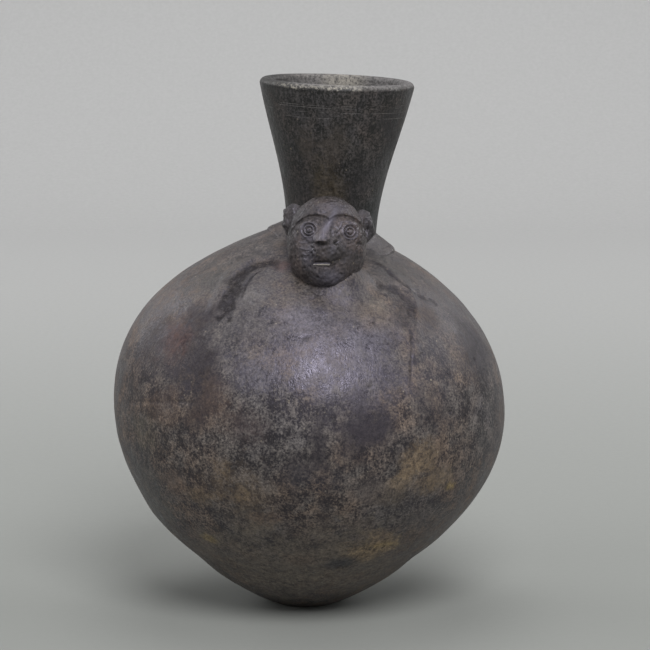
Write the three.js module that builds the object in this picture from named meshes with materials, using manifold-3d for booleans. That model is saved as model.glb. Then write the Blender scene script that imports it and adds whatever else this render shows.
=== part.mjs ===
// A hand-built blackware bottle: a round body on a very small flat foot, a flaring neck that leans to one
// side, and a small modelled monkey head luted to the front of the shoulder, with its arms laid along the
// wall. The pieces are the ones that a potter forms separately and joins with slip: two pressed half
// shells, the strip that seals their seam inside, a neck tube, the coil of the rim, a collar over the neck
// joint, the head with its ears and the wad under its jaw, and the arms.
// Millimetres, +Z up, the front of the bottle faces -Y, and the origin is the centre of the flat foot.
import * as THREE from "three";
import { mergeVertices } from "three/addons/utils/BufferGeometryUtils.js";
import Module from "manifold-3d";

const wasm = await Module();
wasm.setup();

const { clamp, degToRad, smoothstep } = THREE.MathUtils;

// Driving dimensions of the body
const foot_radius = 12; // the flat disc that the bottle stands on
const foot_angle = 20.6; // how steeply the wall leaves the foot, in degrees
const foot_pull = 24.2; // how far that slope carries before the wall turns upwards
const belly_radius = 76.4;
const belly_height = 78; // the widest level, where the two half shells meet
const belly_pull_down = 37.9; // how far the wall stays upright under the widest level
const belly_pull_up = 43.5; // and above it
const crown_radius = 16; // where the shoulder curve ends and the crown under the neck begins
const crown_height = 146.9;
const crown_angle = 22; // slope of the shoulder there, in degrees
const crown_pull = 21; // how far that slope carries down the shoulder
const body_wall = 5;
const floor_thickness = 7;

// The wet clay did not stay round: these are its driving dimensions
const body_lean = 2.1; // degrees that the upper body has settled towards +X
const body_shift = 1.45; // and how far it has moved that way
const lean_eased = 0.53; // share of the lean that the shoulder has lost again at the crown,
const easing_drop = 37; // and it starts to lose it this far under the crown
const bulge_out = 1.1; // the lower wall bulges on the -X side
const bulge_height = 0.46 * belly_height;
const bulge_spread = 8;
const waist_in = 0.9; // and the wall is drawn in above the foot, all round
const waist_height = 0.26 * belly_height;
const waist_spread = 5;

// Driving dimensions of the joints
const slip = 0.3; // film of slip between two luted pieces
const cutter_root = 1; // what cuts a neighbour reaches this far into the wall under it
const seam_rise = 3; // the seam climbs inwards by this much, so that the lower shell centres the upper
const strip_half_width = 9; // strip of clay rubbed over the seam on the inside
const strip_thickness = 2.2;
const strip_edge = 0.6; // what is left of it at its thumbed edges

// Driving dimensions of the neck
const neck_x = 9.9; // the neck stands to one side of the body's axis
const neck_sunk = 2.9; // its axis crosses the seat level at neck_x, this far under the crown's edge
const neck_seat_height = crown_height - neck_sunk;
const neck_lean = 2.2; // degrees
const neck_length = 61; // from the seat level to the top of the rim
const neck_root = 16; // the tube is made this much longer at its foot, and is cut to the shoulder
const neck_radius = 17.4; // outside, at the seat
const neck_wall = 4.2;
const neck_pull = 21.8; // how far the foot of the neck stays straight
const rim_radius = 30.2; // outside, at the top
const rim_flare = 11.7; // degrees that the wall still opens at the rim
const rim_pull = 21.7; // how far that flare carries down the neck
const rim_height = 7.5; // height of the last coil
const lip_round = 2.1; // rounding of its top edge
const collar_start = 2; // how far the collar starts inside the neck, before it is cut to the neck
const collar_reach = 7.5; // and how far it spreads over the shoulder
const collar_root = 1.7; // its thickness beside the neck
const collar_edge = 1.25; // and at its outer edge
const collar_round = 0.24; // share of its reach that the rounding of that edge would take
const collar_rounded = 0.83; // and the part of the rounding that is there before the edge steps down
const collar_press = 0.25; // share of its thickness that moved from its left to its right as it was pressed

// Driving dimensions of the monkey head. Heights on it are over the centre of the skull.
const head_x = 8.3; // centre of the skull
const head_stand = 19.1; // from the neck to it
const head_y = -(neck_radius + head_stand);
const head_rise = 9.4; // from the shoulder under it
const head_pitch = 14; // degrees that the face looks up
const skull_half_width = 14.9;
const skull_front = 14.4; // from the centre to the face, without its features
const skull_back = 20; // and to the back, which is cut to the neck
const skull_half_height = 18;
const skull_squareness = 2.1; // 2 is an ellipsoid, and more is boxier
const face_from = 0.05; // the features fade in between these shares of the way from the ears to the face
const face_full = 0.5;
const chin_skew = -1.9; // the face is pinched askew: its middle lies here at the chin
const forehead_skew = 3.7; // and here from the forehead up
const forehead_height = 13;
const muzzle_out = 2.6;
const muzzle_half_width = 7.9;
const muzzle_half_height = 6.2;
const muzzle_flat = 0.41; // share of it that is flat
const muzzle_height = -4.2;
const muzzle_shift = 1.4; // the muzzle and the chin sit to the right of the middle
const chin_out = 2.4;
const chin_half_width = 8;
const chin_half_height = 6;
const chin_height = -14.5;
const nose_out = 3;
const nose_half_width = 3.1;
const nose_height = 0; // level of its tip
const nose_tip = 0.8; // how far the tip goes on under that level
const nose_underside = 1.6; // height over which it falls back under the tip
const nose_rise = 6; // and over which it runs out upwards
const bridge_out = 1.2;
const bridge_half_width = 2;
const bridge_top = 14;
const bridge_fade = 4; // height over which the bridge runs out at its top
const brow_out = 1.3;
const brow_height = 11; // top of the arched brow line over each eye
const brow_spread = 5.5; // from the middle of the eyes to those tops
const brow_arch = 0.085; // how fast the line falls away on both sides of them, per millimetre
const brow_edge = 0.65; // half the height of the step along the line
const eye_height = 4.2;
const eye_spread = 7.8; // from the middle of the eyes to each
const eye_middle = 0.95;
const eye_ring_radius = 2.4; // the larger of the two reed stamps
const eye_dot_radius = 1.1; // and the smaller
const stamp_width = 0.6;
const stamp_depth = 0.6;
const nostril_radius = 1.05;
const nostril_spread = 2.3;
const nostril_skew = 0.6; // they sit a little to the right of the nose
const nostril_drop = 1.9; // and this far under its tip
const mouth_width = 6.8;
const mouth_height = -9.3;
const mouth_gape = 1;
const mouth_depth = 1.4;
const ear_half_height = 6.3;
const ear_half_width = 4.6;
const ear_half_depth = 2.8;
const ear_sunk = 0.8; // how far the middle of each ear lies inside the skull
const ear_setback = 0.5; // how far the ears sit behind the middle of the skull
const ear_tilt = 20; // degrees
const ear_dimple = 2.3; // half width of the thumbed hollow in each ear
const ear_dimple_half_height = 3.9;
const ear_dimple_shift = 1.3; // how far it lies outside the middle of the ear
const left_ear_height = 8.8;
const right_ear_height = 6.4;
const wad_half_width = 13.6; // the wad under the jaw follows this oval, seen from above
const wad_half_depth = 11.4;
const wad_from = -104; // between these angles, where -90 is the front
const wad_to = 24;
const wad_reach = 2.4; // how far it spreads outside the oval
const wad_start = 5; // how far it starts inside the oval, before it is cut to the head
const wad_rise = 2.8;
const wad_edge = 0.3; // what is left of it where it is thumbed out
const wad_hollow = 1.3; // 1 falls off evenly towards that edge, and more is hollower

// Driving dimensions of the arms, which are the same coil laid down twice
const arm_half_width = 3.7;
const arm_rise = 1.25;
const arm_edge = 0.35; // what is left of the coil at its thumbed edges
const arm_end = 0.3; // share of its width and rise at its thumbed ends
const arm_start_phase = 0.1; // the share between swells as a sine, from this part of the half wave
const arm_hand_phase = 0.95; // to this part
// Each path runs from the shoulder to the hand: degrees round the body from the front, and a share of the
// height from the belly to the crown.
const right_arm_path = [
  [38, 0.891],
  [46, 0.856],
  [51, 0.813],
  [48, 0.72],
  [41, 0.602],
  [36, 0.47],
  [32, 0.364],
];
const left_arm_path = [
  [-27, 0.894],
  [-38, 0.885],
  [-44, 0.843],
  [-41.7, 0.766],
  [-39, 0.672],
  [-37, 0.588],
];

// How finely the surfaces are divided
const body_sides = 40;
const bowl_steps = 9;
const dome_steps = 9;
const crown_steps = 2;
const strip_steps = 4;
const neck_sides = 32;
const neck_steps = 7;
const lip_steps = 6;
const collar_steps = 5;
const wad_sides = 16;
const wad_steps = 4;
const arm_steps = 18;
const arm_ribs = 6;
const reed_sides = 16;
const pellet_sides = 16; // for the ears, and rings for the same
const pellet_rings = 12;
const hollow_sides = 12; // for what is poked or thumbed into the clay
const hollow_rings = 8;
const skull_detail = 11;
const face_focus = 0.35; // how far the skull's points are drawn towards the face, where the features are

const z_axis = new THREE.Vector3(0, 0, 1);

// A smooth hump of height 1
const bell = (distance, width) => Math.exp(-((distance / width) ** 2));

// Profiles, as points (radius, height) in a half plane through the axis

const slope = (degrees, length) =>
  new THREE.Vector2(Math.cos(degToRad(degrees)), Math.sin(degToRad(degrees))).multiplyScalar(length);

const foot_edge = new THREE.Vector2(foot_radius, 0);
const belly = new THREE.Vector2(belly_radius, belly_height);
const crown = new THREE.Vector2(crown_radius, crown_height);
const crown_top = crown_height + (crown_radius / 2) * Math.tan(degToRad(crown_angle));

const bowl_curve = new THREE.CubicBezierCurve(
  foot_edge,
  foot_edge.clone().add(slope(foot_angle, foot_pull)),
  new THREE.Vector2(belly_radius, belly_height - belly_pull_down),
  belly,
);
const dome_curve = new THREE.CubicBezierCurve(
  belly,
  new THREE.Vector2(belly_radius, belly_height + belly_pull_up),
  crown.clone().add(slope(-crown_angle, crown_pull)),
  crown,
);
const crown_curve = new THREE.QuadraticBezierCurve(
  crown,
  new THREE.Vector2(crown_radius / 2, crown_top),
  new THREE.Vector2(0, crown_top),
);
const rim_edge = new THREE.Vector2(rim_radius, neck_length);
const neck_curve = new THREE.CubicBezierCurve(
  new THREE.Vector2(neck_radius, 0),
  new THREE.Vector2(neck_radius, neck_pull),
  rim_edge.clone().sub(slope(90 - rim_flare, rim_pull)),
  rim_edge,
);

// A point of a curve that is drawn upwards with its solid on the left, moved outwards
function curvePoint(curve, t, out) {
  const along = curve.getTangent(t);
  return curve.getPoint(t).add(new THREE.Vector2(along.y, -along.x).multiplyScalar(out));
}

function curvePoints(curve, steps, out, from = 0, to = 1) {
  const stepLength = (to - from) / steps;
  return Array.from({ length: steps + 1 }, (_, i) => curvePoint(curve, from + stepLength * i, out));
}

// Where a measure that rises along a curve reaches a value, by halving
function whereRises(measure, value) {
  let low = 0;
  let high = 1;
  for (let i = 0; i < 32; i++) {
    const middle = (low + high) / 2;
    if (measure(middle) < value) low = middle;
    else high = middle;
  }
  return (low + high) / 2;
}

const atHeight = (curve, height) => whereRises((t) => curve.getPoint(t).y, height);

// Solids

// A closed geometry as a manifold-3d solid
function solid(geometry) {
  const bare = geometry.clone();
  bare.deleteAttribute("normal");
  bare.deleteAttribute("uv");
  const merged = mergeVertices(bare, 1e-4);
  return new wasm.Manifold(
    new wasm.Mesh({
      numProp: 3,
      vertProperties: new Float32Array(merged.attributes.position.array),
      triVerts: new Uint32Array(merged.index.array),
    }),
  );
}

function geometryOf(made) {
  const mesh = made.getMesh();
  const geometry = new THREE.BufferGeometry();
  geometry.setAttribute("position", new THREE.BufferAttribute(new Float32Array(mesh.vertProperties), 3));
  geometry.setIndex(new THREE.BufferAttribute(new Uint32Array(mesh.triVerts), 1));
  const faceted = geometry.toNonIndexed();
  faceted.computeVertexNormals();
  return faceted;
}

// A profile turned about the Z axis. A profile that runs upwards on the outside gives faces that point out.
function turned(points, sides) {
  return new THREE.LatheGeometry(points, sides).rotateX(Math.PI / 2);
}

const without = (made, cutters) => cutters.reduce((left, cutter) => left.subtract(cutter), made);

const inFrame = (made, group) => made.transform(group.matrixWorld.clone().invert().elements);

// A closed body over a surface, from rows of pairs of points: a foot on the surface and a top over it. With
// ring, the last row joins the first.
function clayStrip(rows, ring) {
  const count = rows.length;
  const last = rows[0].length - 1;
  const flat = [];
  const quad = (a, b, c, d) => [a, b, c, a, c, d].forEach((point) => flat.push(...point.toArray()));
  for (let i = 0; i < (ring ? count : count - 1); i++) {
    const row = rows[i];
    const next = rows[(i + 1) % count];
    for (let k = 0; k < last; k++) {
      quad(row[k].top, row[k + 1].top, next[k + 1].top, next[k].top);
      quad(row[k].foot, next[k].foot, next[k + 1].foot, row[k + 1].foot);
    }
    quad(row[0].foot, row[0].top, next[0].top, next[0].foot);
    quad(row[last].foot, next[last].foot, next[last].top, row[last].top);
  }
  if (!ring) {
    const end = rows[count - 1];
    for (let k = 0; k < last; k++) {
      quad(rows[0][k].foot, rows[0][k + 1].foot, rows[0][k + 1].top, rows[0][k].top);
      quad(end[k].foot, end[k].top, end[k + 1].top, end[k + 1].foot);
    }
  }
  const geometry = new THREE.BufferGeometry();
  geometry.setAttribute("position", new THREE.BufferAttribute(new Float32Array(flat), 3));
  return solid(geometry);
}

// The body's outside

// The wet body slumped: it leans and drifts a little towards +X and is no longer round. The foot is flat.
function settle(point) {
  const radius = Math.hypot(point.x, point.y);
  const side = radius > 0 ? clamp(-point.x / radius, 0, 1) : 0;
  const bulge = bulge_out * side * side * bell(point.z - bulge_height, bulge_spread);
  const waist = waist_in * bell(point.z - waist_height, waist_spread);
  const swell = radius > 0 ? 1 + (bulge - waist) / radius : 1;
  const x = point.x * swell;
  const share = smoothstep(point.z, 0, belly_height);
  const eased = 1 - lean_eased * smoothstep(point.z, crown_height - easing_drop, crown_height);
  const lean = degToRad(body_lean) * share * eased;
  return point.set(x * Math.cos(lean) + body_shift * share, point.y * swell, point.z - x * Math.sin(lean));
}

function settled(geometry) {
  const position = geometry.attributes.position;
  const point = new THREE.Vector3();
  for (let i = 0; i < position.count; i++) {
    settle(point.fromBufferAttribute(position, i));
    position.setXYZ(i, point.x, point.y, point.z);
  }
  return geometry;
}

const wallPoint = (curve, t, angle, out) => {
  const at = curvePoint(curve, t, out);
  return settle(new THREE.Vector3(at.x * Math.sin(angle), -at.x * Math.cos(angle), at.y));
};

// A place on the body's wall and the direction straight out of it
function wallPlace(curve, t, angle) {
  const foot = wallPoint(curve, t, angle, 0);
  const out = wallPoint(curve, t, angle, 1).sub(foot).normalize();
  return { foot, out };
}

// Such a place from degrees round the body and a share of the height from the belly to the crown
function domeAt(degrees, share) {
  const height = belly_height + (crown_height - belly_height) * share;
  return wallPlace(dome_curve, atHeight(dome_curve, height), degToRad(degrees));
}

// Such a place over a point of the plan, anywhere above the belly. The body has settled, so the place is
// found in steps that halve the error many times over.
function shoulderAt(x, y) {
  const rounds = 8;
  const plan = new THREE.Vector2(x, y);
  let place;
  for (let i = 0; i < rounds; i++) {
    const radius = plan.length();
    const curve = radius > crown_radius ? dome_curve : crown_curve;
    const t = whereRises((u) => -curve.getPoint(u).x, -radius);
    place = wallPlace(curve, t, Math.atan2(plan.x, -plan.y));
    plan.x += x - place.foot.x;
    plan.y += y - place.foot.y;
  }
  return place;
}

// Clay of a given thickness laid on the wall at such a place, with its foot on the slip or in the wall
const laidOn = ({ foot, out }, thickness, root = -slip) => ({
  foot: foot.clone().addScaledVector(out, -root),
  top: foot.clone().addScaledVector(out, slip + thickness),
});

// The body as if it were solid, grown by some distance. It cuts what is luted onto the wall.
function bodyGrown(out) {
  const points = [
    new THREE.Vector2(0, -out),
    ...curvePoints(bowl_curve, bowl_steps, out),
    ...curvePoints(dome_curve, dome_steps, out).slice(1),
    ...curvePoints(crown_curve, crown_steps, out).slice(1),
  ];
  points[points.length - 1].x = 0;
  return solid(settled(turned(points, body_sides)));
}

// Half shells

function baseBowl() {
  const inside = curvePoints(bowl_curve, bowl_steps, -body_wall)
    .slice(0, -1)
    .filter((point) => point.y > floor_thickness)
    .reverse();
  const points = [
    new THREE.Vector2(0, 0),
    ...curvePoints(bowl_curve, bowl_steps, 0),
    new THREE.Vector2(belly_radius - body_wall, belly_height + seam_rise),
    ...inside,
    new THREE.Vector2(inside.at(-1).x - body_wall, floor_thickness),
    new THREE.Vector2(0, floor_thickness),
  ];
  return solid(settled(turned(points, body_sides)));
}

function shoulderDome() {
  const seat = new THREE.Vector2(belly_radius - body_wall, belly_height + seam_rise + slip);
  const inside = [
    ...curvePoints(dome_curve, dome_steps, -body_wall),
    ...curvePoints(crown_curve, crown_steps, -body_wall).slice(1),
  ]
    .filter((point) => point.y > seat.y)
    .reverse();
  inside[0].x = 0;
  const points = [
    new THREE.Vector2(belly_radius, belly_height + slip),
    ...curvePoints(dome_curve, dome_steps, 0).slice(1),
    ...curvePoints(crown_curve, crown_steps, 0).slice(1),
    ...inside,
    seat,
    new THREE.Vector2(belly_radius, belly_height + slip),
  ];
  return solid(settled(turned(points, body_sides)));
}

// The strip rubbed over the seam on the inside: its face is a low arch, and its back is cut to the wall.
function seamStrip() {
  const middle = belly_height + seam_rise / 2;
  const back = Array.from({ length: strip_steps + 1 }, (_, i) => {
    const height = middle + strip_half_width * ((2 * i) / strip_steps - 1);
    const curve = height < belly_height ? bowl_curve : dome_curve;
    return curvePoint(curve, atHeight(curve, height), -body_wall / 2);
  });
  const face = back.map((point, i) => {
    const across = (2 * i) / strip_steps - 1;
    const thickness = strip_edge + (strip_thickness - strip_edge) * (1 - across * across);
    return new THREE.Vector2(point.x - body_wall / 2 - slip - thickness, point.y);
  });
  const points = [...back, ...face.reverse(), back[0]];
  return solid(settled(turned(points, body_sides))).intersect(bodyGrown(-body_wall - slip));
}

// Neck, in its own frame: the axis is Z, and the seat level is 0

const neck_frame = new THREE.Group();
neck_frame.position.set(neck_x, 0, neck_seat_height);
neck_frame.rotation.y = degToRad(neck_lean);
neck_frame.updateMatrixWorld(true);

function neckGrown(out) {
  const points = [
    new THREE.Vector2(0, -neck_root),
    new THREE.Vector2(neck_radius + out, -neck_root),
    ...curvePoints(neck_curve, neck_steps, out),
    new THREE.Vector2(0, neck_length),
  ];
  return solid(turned(points, neck_sides)).transform(neck_frame.matrixWorld.elements);
}

// The hole that the potter cuts in the shoulder, as wide as the bore of the neck
function shoulderHole() {
  const bore = neck_radius - neck_wall;
  const points = [
    new THREE.Vector2(0, -2 * neck_root),
    new THREE.Vector2(bore, -2 * neck_root),
    new THREE.Vector2(bore, neck_root),
    new THREE.Vector2(0, neck_root),
  ];
  return solid(turned(points, neck_sides)).transform(neck_frame.matrixWorld.elements);
}

const coil_seat = atHeight(neck_curve, neck_length - rim_height);

function neckTube() {
  const bore = neck_radius - neck_wall;
  const outside = curvePoints(neck_curve, neck_steps, 0, 0, coil_seat);
  const inside = outside.map((point) => new THREE.Vector2(point.x - neck_wall, point.y)).reverse();
  const points = [
    new THREE.Vector2(neck_radius, -neck_root),
    ...outside,
    ...inside,
    new THREE.Vector2(bore, -neck_root),
    new THREE.Vector2(neck_radius, -neck_root),
  ];
  return solid(turned(points, neck_sides));
}

// The rim coil continues the flare and ends in a rounded lip.
function rimCoil() {
  const start = neck_curve.getPoint(coil_seat);
  start.y += slip;
  const shoulder = neck_curve.getPoint(atHeight(neck_curve, neck_length - lip_round));
  const middle = shoulder.x - neck_wall / 2;
  const lip = Array.from({ length: lip_steps + 1 }, (_, i) => {
    const turn = (Math.PI * i) / lip_steps;
    return new THREE.Vector2(
      middle + (neck_wall / 2) * Math.cos(turn),
      shoulder.y + lip_round * Math.sin(turn),
    );
  });
  const points = [start, ...lip, new THREE.Vector2(start.x - neck_wall, start.y), start];
  return solid(turned(points, neck_sides));
}

// The collar is a coil pressed over the joint of neck and shoulder. It thins outwards to a soft step.
function collarThickness(share, angle) {
  const thickness = collar_edge + (collar_root - collar_edge) * (1 - share) ** 2;
  const past = clamp((share - 1) / collar_round + collar_rounded, 0, 1);
  const rounding = Math.sqrt(1 - past ** 2);
  return thickness * rounding * (1 + collar_press * Math.cos(angle));
}

// The collar, or with an extra thickness what cuts its neighbours
function neckCollar(extra = 0) {
  const root = extra > 0 ? cutter_root : -slip;
  const reach = collar_start + collar_reach + extra;
  const rows = Array.from({ length: neck_sides }, (_, i) => {
    const angle = (2 * Math.PI * i) / neck_sides;
    return Array.from({ length: collar_steps + 1 }, (_, k) => {
      const share = k / collar_steps;
      const radius = neck_radius - collar_start + reach * share;
      const place = shoulderAt(neck_x + radius * Math.cos(angle), radius * Math.sin(angle));
      return laidOn(place, collarThickness(share, angle) + extra, root);
    });
  });
  return clayStrip(rows, true);
}

// Monkey head, in its own frame: x to the viewer's right, -y out of the face, z up

const head_frame = new THREE.Group();
head_frame.position.copy(shoulderAt(head_x, head_y).foot).add(new THREE.Vector3(0, 0, head_rise));
head_frame.rotation.x = degToRad(-head_pitch);
head_frame.updateMatrixWorld(true);

// The middle of the face at a height
const faceMiddle = (z) => chin_skew + (forehead_skew - chin_skew) * smoothstep(z, 0, forehead_height);

// The brow line arches over each eye and dips between them.
const browLine = (x) => brow_height - brow_arch * (Math.abs(x - eye_middle) - brow_spread) ** 2;

// How far the face stands out of the skull, at a place seen from the front
function faceRelief(x, z) {
  const across = x - faceMiddle(z);
  const low = across - muzzle_shift;
  const lip = Math.hypot(low / muzzle_half_width, (z - muzzle_height) / muzzle_half_height);
  const muzzle = muzzle_out * (1 - smoothstep(lip, muzzle_flat, 1));
  const chin = chin_out * bell(low, chin_half_width) * bell(z - chin_height, chin_half_height);
  const tip = nose_height - nose_tip;
  const bridge_run = smoothstep(z, tip, tip + nose_tip + bridge_half_width)
    * (1 - smoothstep(z, bridge_top - bridge_fade, bridge_top));
  const bridge = bridge_out * bell(across, bridge_half_width) * bridge_run;
  const nose_run = smoothstep(z, tip - nose_underside, tip)
    * (1 - smoothstep(z, nose_height, nose_height + nose_rise));
  const nose = nose_out * bell(across, nose_half_width) * nose_run;
  const brow = brow_out * smoothstep(z - browLine(x), -brow_edge, brow_edge);
  return muzzle + chin + bridge + nose + brow;
}

function skullPoint(direction, out) {
  const power = skull_squareness;
  const { x, y, z } = direction;
  const size = (Math.abs(x) ** power + Math.abs(y) ** power + Math.abs(z) ** power) ** (-1 / power);
  const point = new THREE.Vector3(
    x * size * skull_half_width,
    y * size * (y < 0 ? skull_front : skull_back),
    z * size * skull_half_height,
  );
  point.y -= smoothstep(-y, face_from, face_full) * faceRelief(point.x, point.z);
  return point.addScaledVector(direction, out);
}

function skull(out) {
  const geometry = new THREE.IcosahedronGeometry(1, skull_detail);
  const position = geometry.attributes.position;
  const direction = new THREE.Vector3();
  for (let i = 0; i < position.count; i++) {
    direction.fromBufferAttribute(position, i);
    direction.y -= face_focus;
    const point = skullPoint(direction.normalize(), out);
    position.setXYZ(i, point.x, point.y, point.z);
  }
  return solid(geometry);
}

// The face's surface at a place seen from the front
function onFace(x, z) {
  const rounds = 20;
  const direction = new THREE.Vector3(x / skull_half_width, -1, z / skull_half_height).normalize();
  for (let i = 0; i < rounds; i++) {
    const point = skullPoint(direction, 0);
    direction.x += (x - point.x) / skull_half_width;
    direction.z += (z - point.z) / skull_half_height;
    direction.normalize();
  }
  return skullPoint(direction, 0);
}

// A shape stood on the face: its Z axis points straight out of the surface, and its X axis to the right
function stoodOnFace(geometry, x, z) {
  const step = 1;
  const right = onFace(x + step, z).sub(onFace(x - step, z)).normalize();
  const upwards = onFace(x, z + step).sub(onFace(x, z - step));
  const out = right.clone().cross(upwards).normalize();
  const basis = new THREE.Matrix4().makeBasis(right, out.clone().cross(right), out);
  return geometry.applyMatrix4(basis.setPosition(onFace(x, z)));
}

// The ring that a cut reed leaves in wet clay
function reedStamp(radius, x, z) {
  const inner = radius - stamp_width / 2;
  const outer = radius + stamp_width / 2;
  const over = 3 * stamp_depth; // the cutter stands clear of the rounded face
  const points = [
    new THREE.Vector2(inner, -stamp_depth),
    new THREE.Vector2(outer, -stamp_depth),
    new THREE.Vector2(outer, over),
    new THREE.Vector2(inner, over),
    new THREE.Vector2(inner, -stamp_depth),
  ];
  return solid(stoodOnFace(turned(points, reed_sides), x, z));
}

function nostril(side) {
  const pit = new THREE.SphereGeometry(nostril_radius, hollow_sides, hollow_rings);
  const x = faceMiddle(nose_height) + nostril_skew + side * nostril_spread;
  return solid(stoodOnFace(pit, x, nose_height - nostril_drop));
}

function mouth() {
  const slit = new THREE.SphereGeometry(1, hollow_sides, hollow_rings)
    .scale(mouth_width / 2, mouth_gape / 2, mouth_depth);
  return solid(stoodOnFace(slit, faceMiddle(mouth_height), mouth_height));
}

function monkeyHead() {
  const cuts = [mouth()];
  for (const side of [-1, 1]) {
    const x = eye_middle + side * eye_spread;
    cuts.push(reedStamp(eye_ring_radius, x, eye_height));
    cuts.push(reedStamp(eye_dot_radius, x, eye_height));
    cuts.push(nostril(side));
  }
  return without(skull(0), cuts);
}

// An ear is a pinched pellet with a thumbed hollow, pressed onto the side of the skull.
function ear(side, height) {
  const share = 1 - Math.abs(height / skull_half_height) ** skull_squareness;
  const x = side * (skull_half_width * share ** (1 / skull_squareness) - ear_sunk);
  const pellet = new THREE.SphereGeometry(1, pellet_sides, pellet_rings)
    .scale(ear_half_width, ear_half_depth, ear_half_height);
  const hollow = new THREE.SphereGeometry(1, hollow_sides, hollow_rings)
    .scale(ear_dimple, ear_dimple, ear_dimple_half_height)
    .translate(side * ear_dimple_shift, -ear_half_depth, 0);
  const place = (geometry) => geometry.rotateZ(degToRad(side * ear_tilt)).translate(x, ear_setback, height);
  return solid(place(pellet)).subtract(solid(place(hollow)));
}

// The wad that fills the joint under the right of the jaw: it climbs the head and is thumbed out over the
// shoulder. The left of the jaw stays undercut.
function throatWad() {
  const rows = Array.from({ length: wad_sides + 1 }, (_, i) => {
    const angle = degToRad(wad_from + ((wad_to - wad_from) * i) / wad_sides);
    const fullness = Math.sqrt(Math.sin((Math.PI * (i + 1)) / (wad_sides + 2)));
    return Array.from({ length: wad_steps + 1 }, (_, k) => {
      const share = k / wad_steps;
      const reach = (wad_start + wad_reach * fullness) * share - wad_start;
      const x = head_x + (wad_half_width + reach) * Math.cos(angle);
      const y = head_y + (wad_half_depth + reach) * Math.sin(angle);
      return laidOn(shoulderAt(x, y), wad_edge + wad_rise * fullness * (1 - share) ** wad_hollow);
    });
  });
  return clayStrip(rows, false);
}

// Arms

// A low coil pressed along a path on the wall. It is thumbed flat at the start, and the hand tapers off.
function arm(path) {
  const route = new THREE.SplineCurve(path.map(([degrees, share]) => new THREE.Vector2(degrees, share)));
  const onRoute = (t) => {
    const at = route.getPoint(clamp(t, 0, 1));
    return domeAt(at.x, at.y);
  };
  const rows = Array.from({ length: arm_steps + 1 }, (_, i) => {
    const t = i / arm_steps;
    const { foot, out } = onRoute(t);
    const ahead = 1 / arm_steps / 2;
    const along = onRoute(t + ahead).foot.sub(onRoute(t - ahead).foot);
    const aside = along.cross(out).normalize();
    const phase = arm_start_phase + (arm_hand_phase - arm_start_phase) * t;
    const fullness = arm_end + (1 - arm_end) * Math.sqrt(Math.sin(Math.PI * phase));
    return Array.from({ length: arm_ribs + 1 }, (_, k) => {
      const across = (2 * k) / arm_ribs - 1;
      const side = foot.clone().addScaledVector(aside, across * arm_half_width * fullness);
      const thickness = arm_edge + arm_rise * fullness * (1 - across * across);
      return laidOn(shoulderAt(side.x, side.y), thickness);
    });
  });
  return clayStrip(rows, false);
}

// Finishes: reduced blackware, burnished, darker on the neck and worn pale on the rim

const clay = (color, roughness) => new THREE.MeshStandardMaterial({ color, roughness, metalness: 0 });

function piece(name, made, material) {
  const mesh = new THREE.Mesh(geometryOf(made), material);
  mesh.name = name;
  return mesh;
}

// Each piece is cut by what it is luted onto, grown by the film of slip.
const body_slip = bodyGrown(slip);
const neck_slip = neckGrown(slip);
const collar_slip = neckCollar(slip);
const skull_slip = skull(slip);
const head_seat = [body_slip, neck_slip, collar_slip].map((made) => inFrame(made, head_frame));
const ear_seat = [skull_slip, ...head_seat];
const skull_placed = skull_slip.transform(head_frame.matrixWorld.elements);
const wall_neighbours = [neck_slip, collar_slip, skull_placed];

const bottle = new THREE.Group();
bottle.add(
  piece("base_bowl", baseBowl(), clay(0x4c4642, 0.5)),
  piece("shoulder_dome", without(shoulderDome(), [shoulderHole()]), clay(0x504b4b, 0.42)),
  piece("seam_strip", seamStrip(), clay(0x3e3a37, 0.8)),
  piece("neck_collar", without(neckCollar(), [neck_slip]), clay(0x48423f, 0.5)),
  piece("throat_wad", without(throatWad(), wall_neighbours), clay(0x4c4645, 0.5)),
  piece("right_arm", without(arm(right_arm_path), wall_neighbours), clay(0x4e4948, 0.48)),
  piece("left_arm", without(arm(left_arm_path), wall_neighbours), clay(0x4a4443, 0.48)),
  neck_frame,
  head_frame,
);
neck_frame.add(
  piece("neck_tube", without(neckTube(), [inFrame(body_slip, neck_frame)]), clay(0x3d3936, 0.5)),
  piece("rim_coil", rimCoil(), clay(0x5d5953, 0.7)),
);
head_frame.add(
  piece("monkey_head", without(monkeyHead(), head_seat), clay(0x4b4542, 0.5)),
  piece("left_ear", without(ear(-1, left_ear_height), ear_seat), clay(0x443f3c, 0.55)),
  piece("right_ear", without(ear(1, right_ear_height), ear_seat), clay(0x443f3c, 0.55)),
);

export default bottle;
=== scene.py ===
"""A hand-built blackware bottle with a small monkey head on its shoulder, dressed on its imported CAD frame.

The clay forms follow the driving dimensions of the CAD source at a finer resolution, and add what hands,
tools and the firing left. Sizes and places in the classes are millimetres, as in that source, unless a comment
says otherwise, and each mesh is scaled to metres when it is made. The front of the bottle faces -Y.
"""

import logging
import math
from collections.abc import Callable, Iterable
from dataclasses import dataclass, replace
from enum import Enum, IntEnum
from functools import cached_property
from typing import Union

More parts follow.
